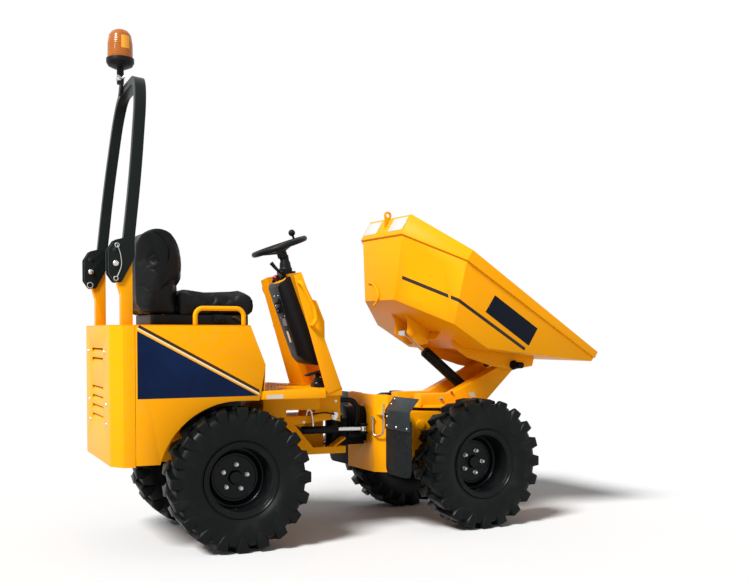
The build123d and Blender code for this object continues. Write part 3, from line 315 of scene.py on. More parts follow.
@material
def tyre_rubber(shader):
    """Black rubber: fine grain, a little dust on the tread."""
    grain = shader.noise(900.0, 3.0)
    patches = shader.noise(14.0, 5.0, 0.6).smooth(0.45, 0.78)
    base = shader.mix(patches * 0.4, (0.003, 0.004, 0.004), (0.014, 0.014, 0.012))
    shader.set(Base_Color=base, Roughness=(patches * 0.2 + grain * 0.08 + 0.34).clamp(),
        Specular_IOR_Level=0.12, Normal=shader.bump(grain, 0.12, 0.0006))


@material
def rubber(shader):
    """Hoses, boots and mud flaps."""
    grain = shader.noise(600.0, 3.0)
    base = shader.mix(shader.noise(9.0, 4.0).smooth(0.4, 0.7), (0.004, 0.005, 0.005), (0.011, 0.012, 0.012))
    shader.set(Base_Color=base, Roughness=(grain * 0.1 + 0.45).clamp(), Specular_IOR_Level=0.1,
               Normal=shader.bump(grain, 0.15, 0.0005))


@material
def flap_rubber(shader):
    """Slate grey sheet rubber with a mottled face."""
    grain = shader.noise(60.0, 6.0, 0.7)
    base = shader.mix(grain.smooth(0.35, 0.7), (0.006, 0.008, 0.009), (0.016, 0.018, 0.019))
    shader.set(Base_Color=base, Roughness=(grain * 0.15 + 0.5).clamp(), Specular_IOR_Level=0.08,
               Normal=shader.bump(grain, 0.25, 0.0008))


@material
def seat_vinyl(shader):
    """Black vinyl with a pebbled grain."""
    cells = shader.node("ShaderNodeTexVoronoi", {"feature": "DISTANCE_TO_EDGE"}, shader.place(),
        Scale=420.0).out(0)
    grain = cells.smooth(0.0, 0.22)
    rubbed = shader.noise(11.0, 4.0).smooth(0.4, 0.75)
    base = shader.mix(rubbed, (0.003, 0.0035, 0.004), (0.008, 0.008, 0.009))
    shader.set(Base_Color=base, Roughness=(rubbed * 0.12 + grain * 0.1 + 0.34).clamp(),
        Specular_IOR_Level=0.14, Normal=shader.bump(grain, 0.25, 0.0004))


@material
def black_plastic(shader):
    grain = shader.noise(1100.0, 2.0)
    base = shader.mix(shader.noise(8.0, 3.0), (0.004, 0.0045, 0.005), (0.009, 0.009, 0.010))
    shader.set(Base_Color=base, Roughness=(grain * 0.15 + 0.34).clamp(), Specular_IOR_Level=0.12,
               Normal=shader.bump(grain, 0.1, 0.0003))


@material
def red_plastic(shader):
    base = shader.mix(shader.noise(60.0, 3.0), (0.62, 0.012, 0.008), (0.5, 0.01, 0.006))
    shader.set(Base_Color=base, Roughness=0.32, Normal=shader.bump(shader.noise(700.0), 0.05, 0.0003))


@material
def bright_steel(shader):
    """Chromed rod and zinc fasteners."""
    fine = shader.noise(260.0, 4.0)
    base = shader.mix(fine, (0.50, 0.50, 0.48), (0.68, 0.68, 0.66))
    shader.set(Base_Color=base, Metallic=1.0, Roughness=(fine * 0.18 + 0.18).clamp(),
               Normal=shader.bump(fine, 0.08, 0.0004))


@material
def dark_iron(shader):
    fine = shader.noise(120.0, 5.0)
    base = shader.mix(fine, (0.010, 0.010, 0.010), (0.035, 0.032, 0.028))
    shader.set(Base_Color=base, Metallic=0.4, Roughness=(fine * 0.25 + 0.42).clamp(),
               Normal=shader.bump(fine, 0.4, 0.001))


def film(shader, colour, roughness=0.3, drift=0.12):
    """Thin self-adhesive film: nearly even, with a soft sheen."""
    base = shader.mix(shader.noise(5.0).smooth(0.3, 0.7), colour, tuple(c * (1 + drift) for c in colour))
    shader.set(Base_Color=base, Roughness=(shader.noise(40.0) * 0.08 + roughness).clamp(),
        Specular_IOR_Level=0.06, Normal=shader.bump(shader.noise(160.0), 0.04, 0.0003))


@material
def navy_film(shader):
    film(shader, tuple(bpy.context.scene.dumper_paint.decal), 0.26, 0.5)


black_film = finish_of("black_film", film, (0.006, 0.008, 0.014), 0.26)
stripe_film = finish_of("stripe_film", film, (0.030, 0.024, 0.020), 0.3)
brown_film = finish_of("brown_film", film, (0.045, 0.022, 0.008), 0.3)
cream_film = finish_of("cream_film", film, (0.72, 0.62, 0.40), 0.32, 0.05)
grey_plate = finish_of("grey_plate", film, (0.20, 0.17, 0.17), 0.34, 0.05)
white_film = finish_of("white_film", film, (0.50, 0.50, 0.48), 0.34, 0.05)


@material
def amber_lens(shader):
    """Amber plastic with moulded prisms round it."""
    ribs = (shader.height() * 700.0).math("SINE")
    base = shader.mix(shader.noise(30.0), (0.34, 0.085, 0.006), (0.50, 0.15, 0.012))
    shader.set(Base_Color=base, Roughness=0.2, Transmission_Weight=0.25, IOR=1.45, Specular_IOR_Level=0.4,
        Emission_Color=(1.0, 0.30, 0.02), Emission_Strength=0.04, Normal=shader.bump(ribs, 0.25, 0.001))


@material
def reflector_lens(shader):
    base = shader.mix(shader.noise(40.0), (0.90, 0.34, 0.012), (0.95, 0.42, 0.03))
    shader.set(Base_Color=base, Roughness=0.18, Specular_IOR_Level=0.5,
               Normal=shader.bump(shader.noise(300.0), 0.05, 0.0004))


# ------------------------------------------------------------------ mesh helpers

def new_object(name, mesh):
    made = bpy.data.objects.new(name, mesh)
    bpy.context.scene.collection.objects.link(made)
    return made


def shade(thing, angle=35.0):
    """Smooth shading with creases at sharp edges."""
    mesh = thing.data
    for polygon in mesh.polygons:
        polygon.use_smooth = True
    mesh.set_sharp_from_angle(angle=math.radians(angle))


def plain_mesh(thing):
    """Applies every modifier and leaves a plain mesh."""
    graph = bpy.context.evaluated_depsgraph_get()
    graph.update()
    done = bpy.data.meshes.new_from_object(thing.evaluated_get(graph))
    thing.modifiers.clear()
    old = thing.data
    thing.data = done
    done.name = thing.name
    if old.users == 0:
        bpy.data.meshes.remove(old)


def round_edges(thing, width, segments=2, angle=28.0):
    """Bevels the sharp edges."""
    bevel = thing.modifiers.new("edges", "BEVEL")
    wanted = {"width": width, "segments": segments, "limit_method": "ANGLE",
        "angle_limit": math.radians(angle), "use_clamp_overlap": True, "miter_outer": "MITER_ARC"}
    for key, value in wanted.items():
        setattr(bevel, key, value)
    plain_mesh(thing)


def dressed(node, finish, edge=0.0015, segments=2, crease=28.0):
    """Merged copy of a CAD node with its flat faces joined up and its edges rounded."""
    source = NODES[node]
    mesh = source.data.copy()
    work = bmesh.new()
    work.from_mesh(mesh)
    bmesh.ops.remove_doubles(work, verts=work.verts, dist=2e-5)
    bmesh.ops.dissolve_degenerate(work, edges=work.edges, dist=1e-5)
    bmesh.ops.dissolve_limit(work, angle_limit=math.radians(1.0), verts=work.verts, edges=work.edges)
    work.to_mesh(mesh)
    work.free()
    made = new_object(f"{node}_finish", mesh)
    mesh.materials.clear()
    mesh.materials.append(finish())
    if edge:
        round_edges(made, edge, segments, crease)
    shade(made, 40.0)
    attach(made, source["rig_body"])
    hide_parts(node)


def settle(name, work, finish, body, place=REAR, edge=0.0, smooth=35.0):
    """Turns a bmesh in local metres into a finished piece that rides on a body."""
    bmesh.ops.remove_doubles(work, verts=work.verts, dist=1e-6)
    bmesh.ops.recalc_face_normals(work, faces=work.faces)
    bmesh.ops.transform(work, matrix=place, verts=work.verts)
    mesh = bpy.data.meshes.new(name)
    work.to_mesh(mesh)
    work.free()
    mesh.materials.append(finish())
    made = new_object(name, mesh)
    if edge:
        round_edges(made, edge)
    shade(made, smooth)
    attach(made, body)
    return made


def loop_faces(work, rings, closed=True, caps=True):
    """Faces between rings of vertices, and over the first and the last."""
    count = len(rings[0])
    spans = count if closed else count - 1
    for near, far in zip(rings, rings[1:]):
        for i in range(spans):
            j = (i + 1) % count
            work.faces.new((near[i], near[j], far[j], far[i]))
    if caps:
        work.faces.new(rings[0][::-1])
        work.faces.new(rings[-1])


def add_prism(work, outline, low, high):
    """Closed outline over X and Z made thick along Y."""
    loop_faces(work, [[work.verts.new((x, y, z)) for x, z in outline] for y in (low, high)])


def add_box(work, low, high):
    """Box between two corners."""
    size = Vector(high) - Vector(low)
    middle = (Vector(high) + Vector(low)) / 2
    bmesh.ops.create_cube(work, size=1.0, matrix=Matrix.Translation(middle) @ Matrix.Diagonal((*size, 1)))


def add_lathe(work, profile, place=None, steps=48):
    """Closed turned shape about Z from (radius, height) pairs that start and end on the axis."""
    place = place or Matrix.Identity(4)
    rings = []
    for radius, height in profile:
        if radius < 1e-6:
            rings.append([work.verts.new(place @ Vector((0, 0, height)))])
        else:
            rings.append([work.verts.new(place @ Vector((radius * math.cos(a), radius * math.sin(a),
                height))) for a in (math.tau * i / steps for i in range(steps))])
    for near, far in zip(rings, rings[1:]):
        for i in range(steps):
            j = (i + 1) % steps
            corners = [near[i % len(near)], near[j % len(near)], far[j % len(far)], far[i % len(far)]]
            unique = list(dict.fromkeys(corners))
            if len(unique) > 2:
                work.faces.new(unique)


def add_ring(work, profile, place=None, steps=48):
    """Turned shape about Z from a closed loop of (radius, height) pairs that stays off the axis."""
    place = place or Matrix.Identity(4)
    rings = []
    for i in range(steps):
        a = math.tau * i / steps
        rings.append([work.verts.new(place @ Vector((r * math.cos(a), r * math.sin(a), h))) for r,
            h in profile])
    loop_faces(work, rings + [rings[0]], caps=False)


def curve_through(points, per=8):
    """Smooth run of points through the given ones."""
    points = [Vector(p) for p in points]
    run = []
    last = len(points) - 1
    for i in range(last):
        before = points[max(i - 1, 0)]
        after = points[min(i + 2, last)]
        for step in range(per):
            t = step / per
            a, b = points[i], points[i + 1]
            run.append(0.5 * ((2 * a) + (b - before) * t + (2 * before - 5 * a + 4 * b - after) * t * t
                              + (3 * a - before - 3 * b + after) * t ** 3))
    return run + [points[-1]]


def add_tube(work, points, radius, steps=12):
    """Round tube along a run of points; radius may be a list."""
    points = [Vector(p) for p in points]
    radii = radius if isinstance(radius, (list, tuple)) else [radius] * len(points)
    normal = None
    rings = []
    for i, point in enumerate(points):
        along = (points[min(i + 1, len(points) - 1)] - points[max(i - 1, 0)]).normalized()
        if normal is None:
            normal = along.orthogonal().normalized()
        normal = (normal - along * normal.dot(along)).normalized()
        side = along.cross(normal)
        rings.append([work.verts.new(point + radii[i] * (math.cos(a) * normal + math.sin(a) * side))
                      for a in (math.tau * k / steps for k in range(steps))])
    loop_faces(work, rings)


def along_to(start, end):
    """Matrix that carries the Z axis onto the run between two points."""
    start, end = Vector(start), Vector(end)
    return Matrix.Translation(start) @ (end - start).to_track_quat("Z", "Y").to_matrix().to_4x4()


def stamp_tree():
    """Geometry Nodes tree that stands a stamp on every point, facing and turned as the point says."""
    tree = bpy.data.node_groups.new("stamps", "GeometryNodeTree")
    sockets = tree.interface
    sockets.new_socket("Points", in_out="INPUT", socket_type="NodeSocketGeometry")
    ids = {}
    for name, kind in (("Stamp", "NodeSocketObject"), ("Size", "NodeSocketFloat"),
            ("Finish", "NodeSocketMaterial")):
        ids[name] = sockets.new_socket(name, in_out="INPUT", socket_type=kind).identifier
    sockets.new_socket("Result", in_out="OUTPUT", socket_type="NodeSocketGeometry")

    def add(kind, **settings):
        node = tree.nodes.new(kind)
        for key, value in settings.items():
            setattr(node, key, value)
        return node

    given = add("NodeGroupInput")
    result = add("NodeGroupOutput")
    stamp = add("GeometryNodeObjectInfo")
    facing, along = (add("GeometryNodeInputNamedAttribute", data_type="FLOAT_VECTOR") for _ in range(2))
    facing.inputs["Name"].default_value = "facing"
    along.inputs["Name"].default_value = "along"
    stand = add("FunctionNodeAlignRotationToVector", axis="Z")
    turn = add("FunctionNodeAlignRotationToVector", axis="X", pivot_axis="Z")
    place = add("GeometryNodeInstanceOnPoints")
    real = add("GeometryNodeRealizeInstances")
    finish = add("GeometryNodeSetMaterial")
    wires = ((given, "Stamp", stamp, "Object"), (facing, "Attribute", stand, "Vector"),
        (stand, "Rotation", turn, "Rotation"), (along, "Attribute", turn, "Vector"),
        (given, "Points", place, "Points"), (stamp, "Geometry", place, "Instance"),
        (turn, "Rotation", place, "Rotation"), (given, "Size", place, "Scale"),
        (place, "Instances", real, "Geometry"), (real, "Geometry", finish, "Geometry"),
        (given, "Finish", finish, "Material"), (finish, "Geometry", result, "Result"))
    for source, out, target, into in wires:
        tree.links.new(source.outputs[out], target.inputs[into])
    return tree, ids


STAMPS = {}


def stamped(name, shape, spots, finish, body, place=REAR, size=1.0):
    """Piece made of one small shape at many spots: (place, facing, along) in local metres."""
    if "tree" not in STAMPS:
        STAMPS["tree"] = stamp_tree()
    tree, ids = STAMPS["tree"]
    work = bmesh.new()
    shape(work)
    bmesh.ops.recalc_face_normals(work, faces=work.faces)
    stamp_mesh = bpy.data.meshes.new("stamp")
    work.to_mesh(stamp_mesh)
    work.free()
    stamp = new_object("stamp", stamp_mesh)
    turn = place.to_3x3()
    mesh = bpy.data.meshes.new(name)
    mesh.from_pydata([place @ Vector(spot[0]) for spot in spots], [], [])
    for key, index in (("facing", 1), ("along", 2)):
        attribute = mesh.attributes.new(key, "FLOAT_VECTOR", "POINT")
        for i, spot in enumerate(spots):
            attribute.data[i].vector = turn @ Vector(spot[index])
    made = new_object(name, mesh)
    modifier = made.modifiers.new("stamps", "NODES")
    modifier.node_group = tree
    modifier[ids["Stamp"]] = stamp
    modifier[ids["Size"]] = size
    modifier[ids["Finish"]] = finish()
    plain_mesh(made)
    bpy.data.objects.remove(stamp)
    bpy.data.meshes.remove(stamp_mesh)
    shade(made, 35.0)
    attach(made, body)


def circle(radius, steps, across=None):
    """Corners of a circle, or of an oval when a second radius is given."""
    angles = [math.tau * i / steps for i in range(steps)]
    return [(radius * math.cos(a), (across or radius) * math.sin(a)) for a in angles]


def add_tapered(work, outline, sections):
    """Outline stacked along Z: each section gives the outline's size and its height."""
    loop_faces(work, [[work.verts.new((x * size, y * size, z)) for x, y in outline] for size,
        z in sections])


HEXAGON = circle(1.0, 6)


def hex_bolt(work):
    """Hexagon head 1 across its flats on a washer, domed a little."""
    add_lathe(work, [(0, 0), (0.78, 0), (0.78, 0.10), (0.70, 0.13), (0, 0.13)], steps=20)
    for low, high, wide in ((0.13, 0.52, 0.577), (0.52, 0.62, 0.50)):
        add_tapered(work, HEXAGON, ((0.577, low), (wide, high)))


def dome_bolt(work):
    """Round head with a shallow dome."""
    add_lathe(work, [(0, 0), (0.5, 0), (0.5, 0.10), (0.42, 0.24), (0.25, 0.33), (0, 0.36)], steps=16)


def wheel_nut(work):
    """Flanged nut with the stud's end standing out of it."""
    add_lathe(work, [(0, 0), (0.80, 0), (0.78, 0.14), (0.60, 0.30), (0, 0.30)], steps=24)
    add_tapered(work, HEXAGON, ((0.577, 0.2), (0.577, 0.86), (0.50, 0.96)))
    add_lathe(work, [(0, 0.9), (0.30, 0.9), (0.30, 1.20), (0.25, 1.26), (0, 1.26)], steps=16)


def tread_bar(work):
    """Raised lens of the treadplate, 1 long."""
    add_tapered(work, circle(0.5, 10, 0.13), ((1.0, -0.01), (0.94, 0.05), (0.7, 0.075)))


def spots_on(points, facing, along=(0, 0, 1)):
    return [(point, facing, along) for point in points]


# ------------------------------------------------------------------ operators

PIECE_OPERATORS = []


def operator(label):
    """Registers a piece's maker as an add-on operator of the same name."""
    def wrap(function):
        def execute(self, context):
            function(context)
            return {"FINISHED"}
        kind = type("DUMPER_OT_" + function.__name__, (bpy.types.Operator,), {
            "bl_idname": "dumper." + function.__name__, "bl_label": label,
            "__doc__": function.__doc__, "execute": execute})
        PIECE_OPERATORS.append(kind)
        return kind
    return wrap


@operator("Bodywork")
def bodywork(context):
    """Painted sheet metal of the rear half."""
    for node in ("rear_cowl", "side_panel_left", "side_panel_right", "seat_deck", "footplate",
            "console_shell", "rops_posts", "rear_frame", "console_rails", "seat_rails"):
        dressed(node, body_paint, edge=0.0025 if node.startswith(("rear_cowl", "side"))
            else 0.0015)
    for node in ("rear_axle", "front_axle", "pivot_block"):
        dressed(node, black_paint)
    dressed("engine_block", dark_iron, edge=0.006)
    dressed("control_box", black_plastic, edge=0.004)


@operator("Front half")
def front_half(context):
    """Front chassis, mudguards, slew ring and turntable."""
    for node in ("front_frame", "turntable"):
        dressed(node, body_paint)
    dressed("slew_ring", dark_iron)
    dressed("mudguards", grey_paint)
    dressed("mud_flaps", flap_rubber)


@operator("Skip")
def skip(context):
    """Skip with its rim, brackets, pins and lifting eye."""
    for node in ("skip_shell", "skip_rim", "skip_brackets", "lifting_eye"):
        dressed(node, body_paint)
    dressed("tip_pins", black_paint)


@operator("Rams")
def rams(context):
    """The two hydraulic rams."""
    for node in ("tip_ram_barrel", "steer_ram_barrel"):
        dressed(node, black_paint)
    for node in ("tip_ram_rod", "steer_ram_rod"):
        dressed(node, bright_steel)


@operator("Roll bar")
def roll_bar(context):
    """Folding hoop."""
    dressed("rops_hoop", hoop_paint, edge=0.004, segments=3)


@operator("Decals")
def decals(context):
    """Film on the side panels and the skip, and the blank plates."""
    sheet_thickness = 0.0005
    band_thickness = 0.0006

    # Navy triangle with its two thin bands, on both side panels.
    for side, name in SIDES:
        face = side * (PANEL_HALF + FILM_GAP)
        outer = face + side * sheet_thickness

        def film_piece(label, outline, finish, lift=0.0):
            work = bmesh.new()
            add_prism(work, outline, face, outer + side * lift)
            settle(f"{label}_{name}", work, finish, "rear_chassis")

        film_piece("livery_triangle", [(-1.111, 1.028), (-1.111, 0.723), (-0.549, 0.7255)], navy_film)
        start, end = Vector((-1.111, 1.0375)), Vector((-0.544, 0.7305))
        run = (end - start).normalized()
        up = Vector((-run.y, run.x))
        for label, near, far, finish in (("livery_line_cream", 0.0, 0.007, cream_film),
                ("livery_line_brown", 0.0075, 0.0205, brown_film)):
            first, last = start + up * near, end + up * near
            film_piece(label, [tuple(first), tuple(last), tuple(end + up * far - run * (far * 0.5)),
                tuple(start + up * far)], finish, 0.0001)

    # The stripe low round the skip's side and its rear corner, on both sides. The corner's face runs
    # straight from its rear edge to its side edge at every height.
    low, high = -0.2560, -0.2400

    def down_wall(z):
        """0 at the rim band, 1 at the wall's foot."""
        return (z + 0.063) / -0.297

    def rear_edge(z, side):
        t = down_wall(z)
        return Vector((0.012 + 0.158 * t, side * (0.217 - 0.057 * t), z))

    def side_edge(z, side):
        t = down_wall(z)
        return Vector((0.289 + 0.133 * t, side * (0.469 - 0.064 * t), z))

    def side_wall(x, z, side):
        return Vector((x, side_edge(z, side).y, z))

    def wall_facing(side):
        return Vector((0, side * 0.978, -0.211)).normalized()

    for side, name in SIDES:
        corner_out = Vector((-0.60, side * 0.66, -0.446)).normalized()
        wall_out = wall_facing(side)
        first = (0.128 - rear_edge(high, side).x) / (side_edge(high, side).x - rear_edge(high, side).x)
        stations = []
        for i in range(9):
            part = first + (1 - first) * i / 8
            edge = [rear_edge(z, side).lerp(side_edge(z, side), part) for z in (low, high)]
            stations.append((edge, corner_out if i < 8 else (corner_out + wall_out).normalized()))
        stations.append(([side_wall(0.868, z, side) for z in (low, high)], wall_out))
        work = bmesh.new()
        rings = []
        for (foot, top), out in stations:
            spots = ((foot, FILM_GAP), (top, FILM_GAP), (top, band_thickness), (foot, band_thickness))
            rings.append([work.verts.new(spot + out * lift) for spot, lift in spots])
        loop_faces(work, rings)
        settle(f"skip_stripe_{name}", work, stripe_film, "skip", SKIP)
    work = bmesh.new()
    corners = [(0.535, -0.116), (0.865, -0.120), (0.876, -0.221), (0.541, -0.214)]
    rings = [[side_wall(x, z, -1) + wall_facing(-1) * lift for x, z in corners]
        for lift in (FILM_GAP, band_thickness)]
    loop_faces(work, [[work.verts.new(spot) for spot in ring] for ring in rings])
    settle("skip_name_block", work, black_film, "skip", SKIP)

    # Blank plates on the skip's rear board.
    work = bmesh.new()
    for low, high in ((0.075, 0.215), (-0.205, -0.055)):
        add_box(work, (-0.0016, low, -0.035), (-0.0001, high, 0.045))
    settle("skip_rear_plates", work, white_film, "skip", SKIP, edge=0.0008)


@operator("Wheels")
def wheels(context):
    """Tyres with their lugs, deep rims, nuts and valves."""
    settings = context.scene.dumper_tyre
    carcass = [(0.060, 0.158), (0.0635, 0.172), (0.069, 0.1815), (0.081, 0.195), (0.0915, 0.214),
        (0.0965, 0.240), (0.0968, 0.262), (0.0945, 0.284), (0.0895, 0.300), (0.079, 0.3105),
        (0.050, 0.3165)]
    # Lug stations from the sidewall over the shoulder and past the middle:
    # place across and radius of the top, of its foot, width, lag behind the shoulder
    stations = [(0.0970, 0.254, 0.0915, 0.252, 0.010, 0.000), (0.0984, 0.273, 0.0900, 0.272, 0.026, 0.000),
        (0.0987, 0.300, 0.0850, 0.294, 0.041, 0.000), (0.0984, 0.323, 0.0800, 0.303, 0.047, 0.000),
        (0.0955, 0.3340, 0.0740, 0.3070, 0.048, 0.000), (0.088, 0.3372, 0.0660, 0.3100, 0.048, 0.001),
        (0.070, 0.3377, 0.0580, 0.3125, 0.046, 0.005), (0.048, 0.3378, 0.0420, 0.3150, 0.040, 0.013),
        (0.026, 0.3379, 0.0240, 0.3160, 0.033, 0.024), (0.008, 0.3379, 0.0070, 0.3165, 0.027, 0.035),
        (-0.010, 0.3378, -0.0110, 0.3165, 0.022, 0.045)]
    pitch = math.tau / settings.lugs
    swell = settings.lug_width / LUG_WIDTH

    for axle, turn in (("rear", settings.rear_turn), ("front", settings.front_turn)):
        for side in ("left", "right"):
            body = f"wheel_{axle}_{side}"
            heading = (STEER_TURN if axle == "front" else 0.0) + (math.pi if side == "right" else 0.0)
            hub = Matrix.Translation(joint_place(f"roll_{axle}_{side}"))
            place = hub @ Matrix.Rotation(heading, 4, "Z")
            forward = -1 if side == "right" else 1
            axle_up = Matrix.Rotation(math.radians(-90), 4, "X")

            work = bmesh.new()
            loop = [(r, y) for y, r in carcass] + [(0.318, 0.0)] + [(r, -y) for y, r in reversed(carcass)]
            loop += [(0.150, -0.058), (0.146, 0.0), (0.150, 0.058)]
            add_ring(work, loop, axle_up, 96)
            for half in (1, -1):
                for lug in range(settings.lugs):
                    start = (lug + (0.5 if half < 0 else 0.0)) * pitch
                    rings = []
                    for y, r, y_foot, r_foot, width, lag in stations:
                        ring = []
                        corners = ((y, r, -0.5), (y, r, 0.5), (y_foot, r_foot, FOOT_SPREAD),
                                   (y_foot, r_foot, -FOOT_SPREAD))
                        for across, radius, spread in corners:
                            a = start + (forward * lag + spread * width * swell) / radius
                            spot = (radius * math.sin(a), across * half, radius * math.cos(a))
                            ring.append(work.verts.new(spot))
                        rings.append(ring)
                    loop_faces(work, rings)
            tyre = settle(f"tyre_{axle}_{side}_tread", work, tyre_rubber, body, place, edge=0.0022,
                smooth=32)
            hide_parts(f"tyre_{axle}_{side}")

            work = bmesh.new()
            outer = [(0, -0.022), (0.028, -0.022), (0.031, -0.025), (0.031, -0.043), (0.036, -0.046),
                (0.101, -0.046), (0.104, -0.040), (0.114, -0.040), (0.118, -0.047), (0.128, -0.052),
                (0.140, -0.052), (0.146, -0.046), (0.150, -0.036), (0.1515, 0.020), (0.1555, 0.034),
                (0.158, 0.050), (0.163, 0.062), (0.1705, 0.0655), (0.1735, 0.0675), (0.1725, 0.0705),
                (0.1760, 0.0745), (0.1795, 0.0735), (0.1800, 0.0700), (0.1785, 0.0670)]
            inner = [(0.1715, 0.0610), (0.1600, 0.0560), (0.1545, 0.034), (0.1500, 0.020), (0.1490, -0.030),
                (0.1535, -0.050), (0.160, -0.061), (0.176, -0.067), (0.180, -0.0705), (0.1760, -0.0745),
                (0.164, -0.066), (0.150, -0.058), (0.140, -0.056), (0.0, -0.056)]
            add_lathe(work, outer + inner, axle_up, 72)
            rim = settle(f"rim_{axle}_{side}_dish", work, rim_paint, body, place, edge=0.0008, smooth=30)
            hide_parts(f"rim_{axle}_{side}")

            # The outer face is looked at from outside, so the nuts count round the other way on the left.
            nuts = []
            for k in range(5):
                a = turn + math.tau * k / 5
                spot = (forward * NUT_CIRCLE * math.sin(a), NUT_FACE, NUT_CIRCLE * math.cos(a))
                nuts.append((spot, (0, 1, 0), (0, 0, 1)))
            stamped(f"rim_{axle}_{side}_nuts", wheel_nut, nuts, bright_steel, body, place, size=0.0165)
            work = bmesh.new()
            root = Vector((0.02, 0.012, -0.150))
            add_tube(work, [root, root + Vector((0, 0.012, 0.005)), root + Vector((0, 0.030, 0.012))],
                [0.006, 0.0055, 0.004])
            settle(f"rim_{axle}_{side}_valve", work, rubber, body, place)


CLOTH = {"quality": 6, "mass": 0.3, "tension_stiffness": 12, "compression_stiffness": 12,
    "shear_stiffness": 6, "bending_stiffness": 0.4, "use_pressure": True, "uniform_pressure_force": 4.0}
CLOTH_FRAMES = 20
CLOTH_START = 0.965
CLOTH_MARGIN = 0.0005


@operator("Seat")
def seat(context):
    """Seat pan, and the cushion and back made soft by a cloth that fills out."""
    dressed("seat_pan", black_plastic)
    for node, cap in (("seat_cushion", 0.020), ("seat_back", 0.018)):
        source = NODES[node]
        mesh = source.data.copy()
        work = bmesh.new()
        work.from_mesh(mesh)
        bmesh.ops.remove_doubles(work, verts=work.verts, dist=2e-5)
        work.to_mesh(mesh)
        work.free()
        made = new_object(f"{node}_cover", mesh)
        mesh.materials.clear()
        mesh.materials.append(seat_vinyl())
        low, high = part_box(node)
        middle = (Vector(low) + Vector(high)) / 2
        remesh = made.modifiers.new("even", "REMESH")
        remesh.mode = "VOXEL"
        remesh.voxel_size = 0.006
        plain_mesh(made)
        # It starts a little smaller than its solid and is let out again.
        for vertex in made.data.vertices:
            vertex.co = middle + (vertex.co - middle) * CLOTH_START
        rest = [vertex.co.copy() for vertex in made.data.vertices]
        cloth = made.modifiers.new("fill", "CLOTH")
        for key, value in CLOTH.items():
            setattr(cloth.settings, key, value)
        cloth.settings.effector_weights.gravity = 0.0
        cloth.collision_settings.use_collision = False
        cloth.point_cache.frame_start = 1
        cloth.point_cache.frame_end = CLOTH_FRAMES
        for frame_number in range(1, CLOTH_FRAMES + 1):
            context.scene.frame_set(frame_number)
            made.evaluated_get(context.evaluated_depsgraph_get())
        plain_mesh(made)
        for vertex, start in zip(made.data.vertices, rest):
            move = vertex.co - start
            if move.length > cap:
                vertex.co = start + move.normalized() * cap
            for axis in range(3):
                vertex.co[axis] = min(max(vertex.co[axis], low[axis] + CLOTH_MARGIN),
                    high[axis] - CLOTH_MARGIN)
        subdivision = made.modifiers.new("fine", "SUBSURF")
        subdivision.levels = 1
        plain_mesh(made)
        shade(made, 60)
        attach(made, source["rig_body"])
        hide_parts(node)


CONSOLE_FOOT_X = -0.0615
CONSOLE_BACK = 0.214
CONSOLE_RISE = 0.575
CONSOLE_LENGTH = math.hypot(CONSOLE_BACK, CONSOLE_RISE)


def console_point(along, out, y=0.0):
    """Point up the console's front plate and out towards the driver."""
    lean = math.atan2(CONSOLE_BACK, CONSOLE_RISE)
    return Vector((CONSOLE_FOOT_X - along * math.sin(lean) - out * math.cos(lean), y,
                   DECK_Z + along * math.cos(lean) - out * math.sin(lean)))


CONSOLE_UP = (console_point(1, 0) - console_point(0, 0)).normalized()
CONSOLE_OUT = (console_point(0, 1) - console_point(0, 0)).normalized()
BOX_DEPTH = 0.0998
BOX_TAPER = 0.0382


def console_frame(along, lift, y=0.0):
    """Frame on the control box's face: X up the box, Y sideways, Z out of it towards the driver."""
    up = (CONSOLE_UP - CONSOLE_OUT * BOX_TAPER).normalized()
    out = (CONSOLE_OUT + CONSOLE_UP * BOX_TAPER).normalized()
    matrix = Matrix((up, Vector((0, 1, 0)), out)).transposed().to_4x4()
    matrix.translation = console_point(along, BOX_DEPTH - BOX_TAPER * along + lift, y)
    return REAR @ matrix


def top_frame(out):
    """Frame on the control box's sloping top: X towards the driver, Z out of it."""
    high = console_point(CONSOLE_LENGTH - 0.012, 0.0)
    slope = (console_point(CONSOLE_LENGTH - 0.030, 0.064) - high).normalized()
    up = Vector((0, 1, 0)).cross(slope)
    matrix = Matrix((slope, up.cross(slope), up)).transposed().to_4x4()
    matrix.translation = high + slope * out
    return REAR @ matrix


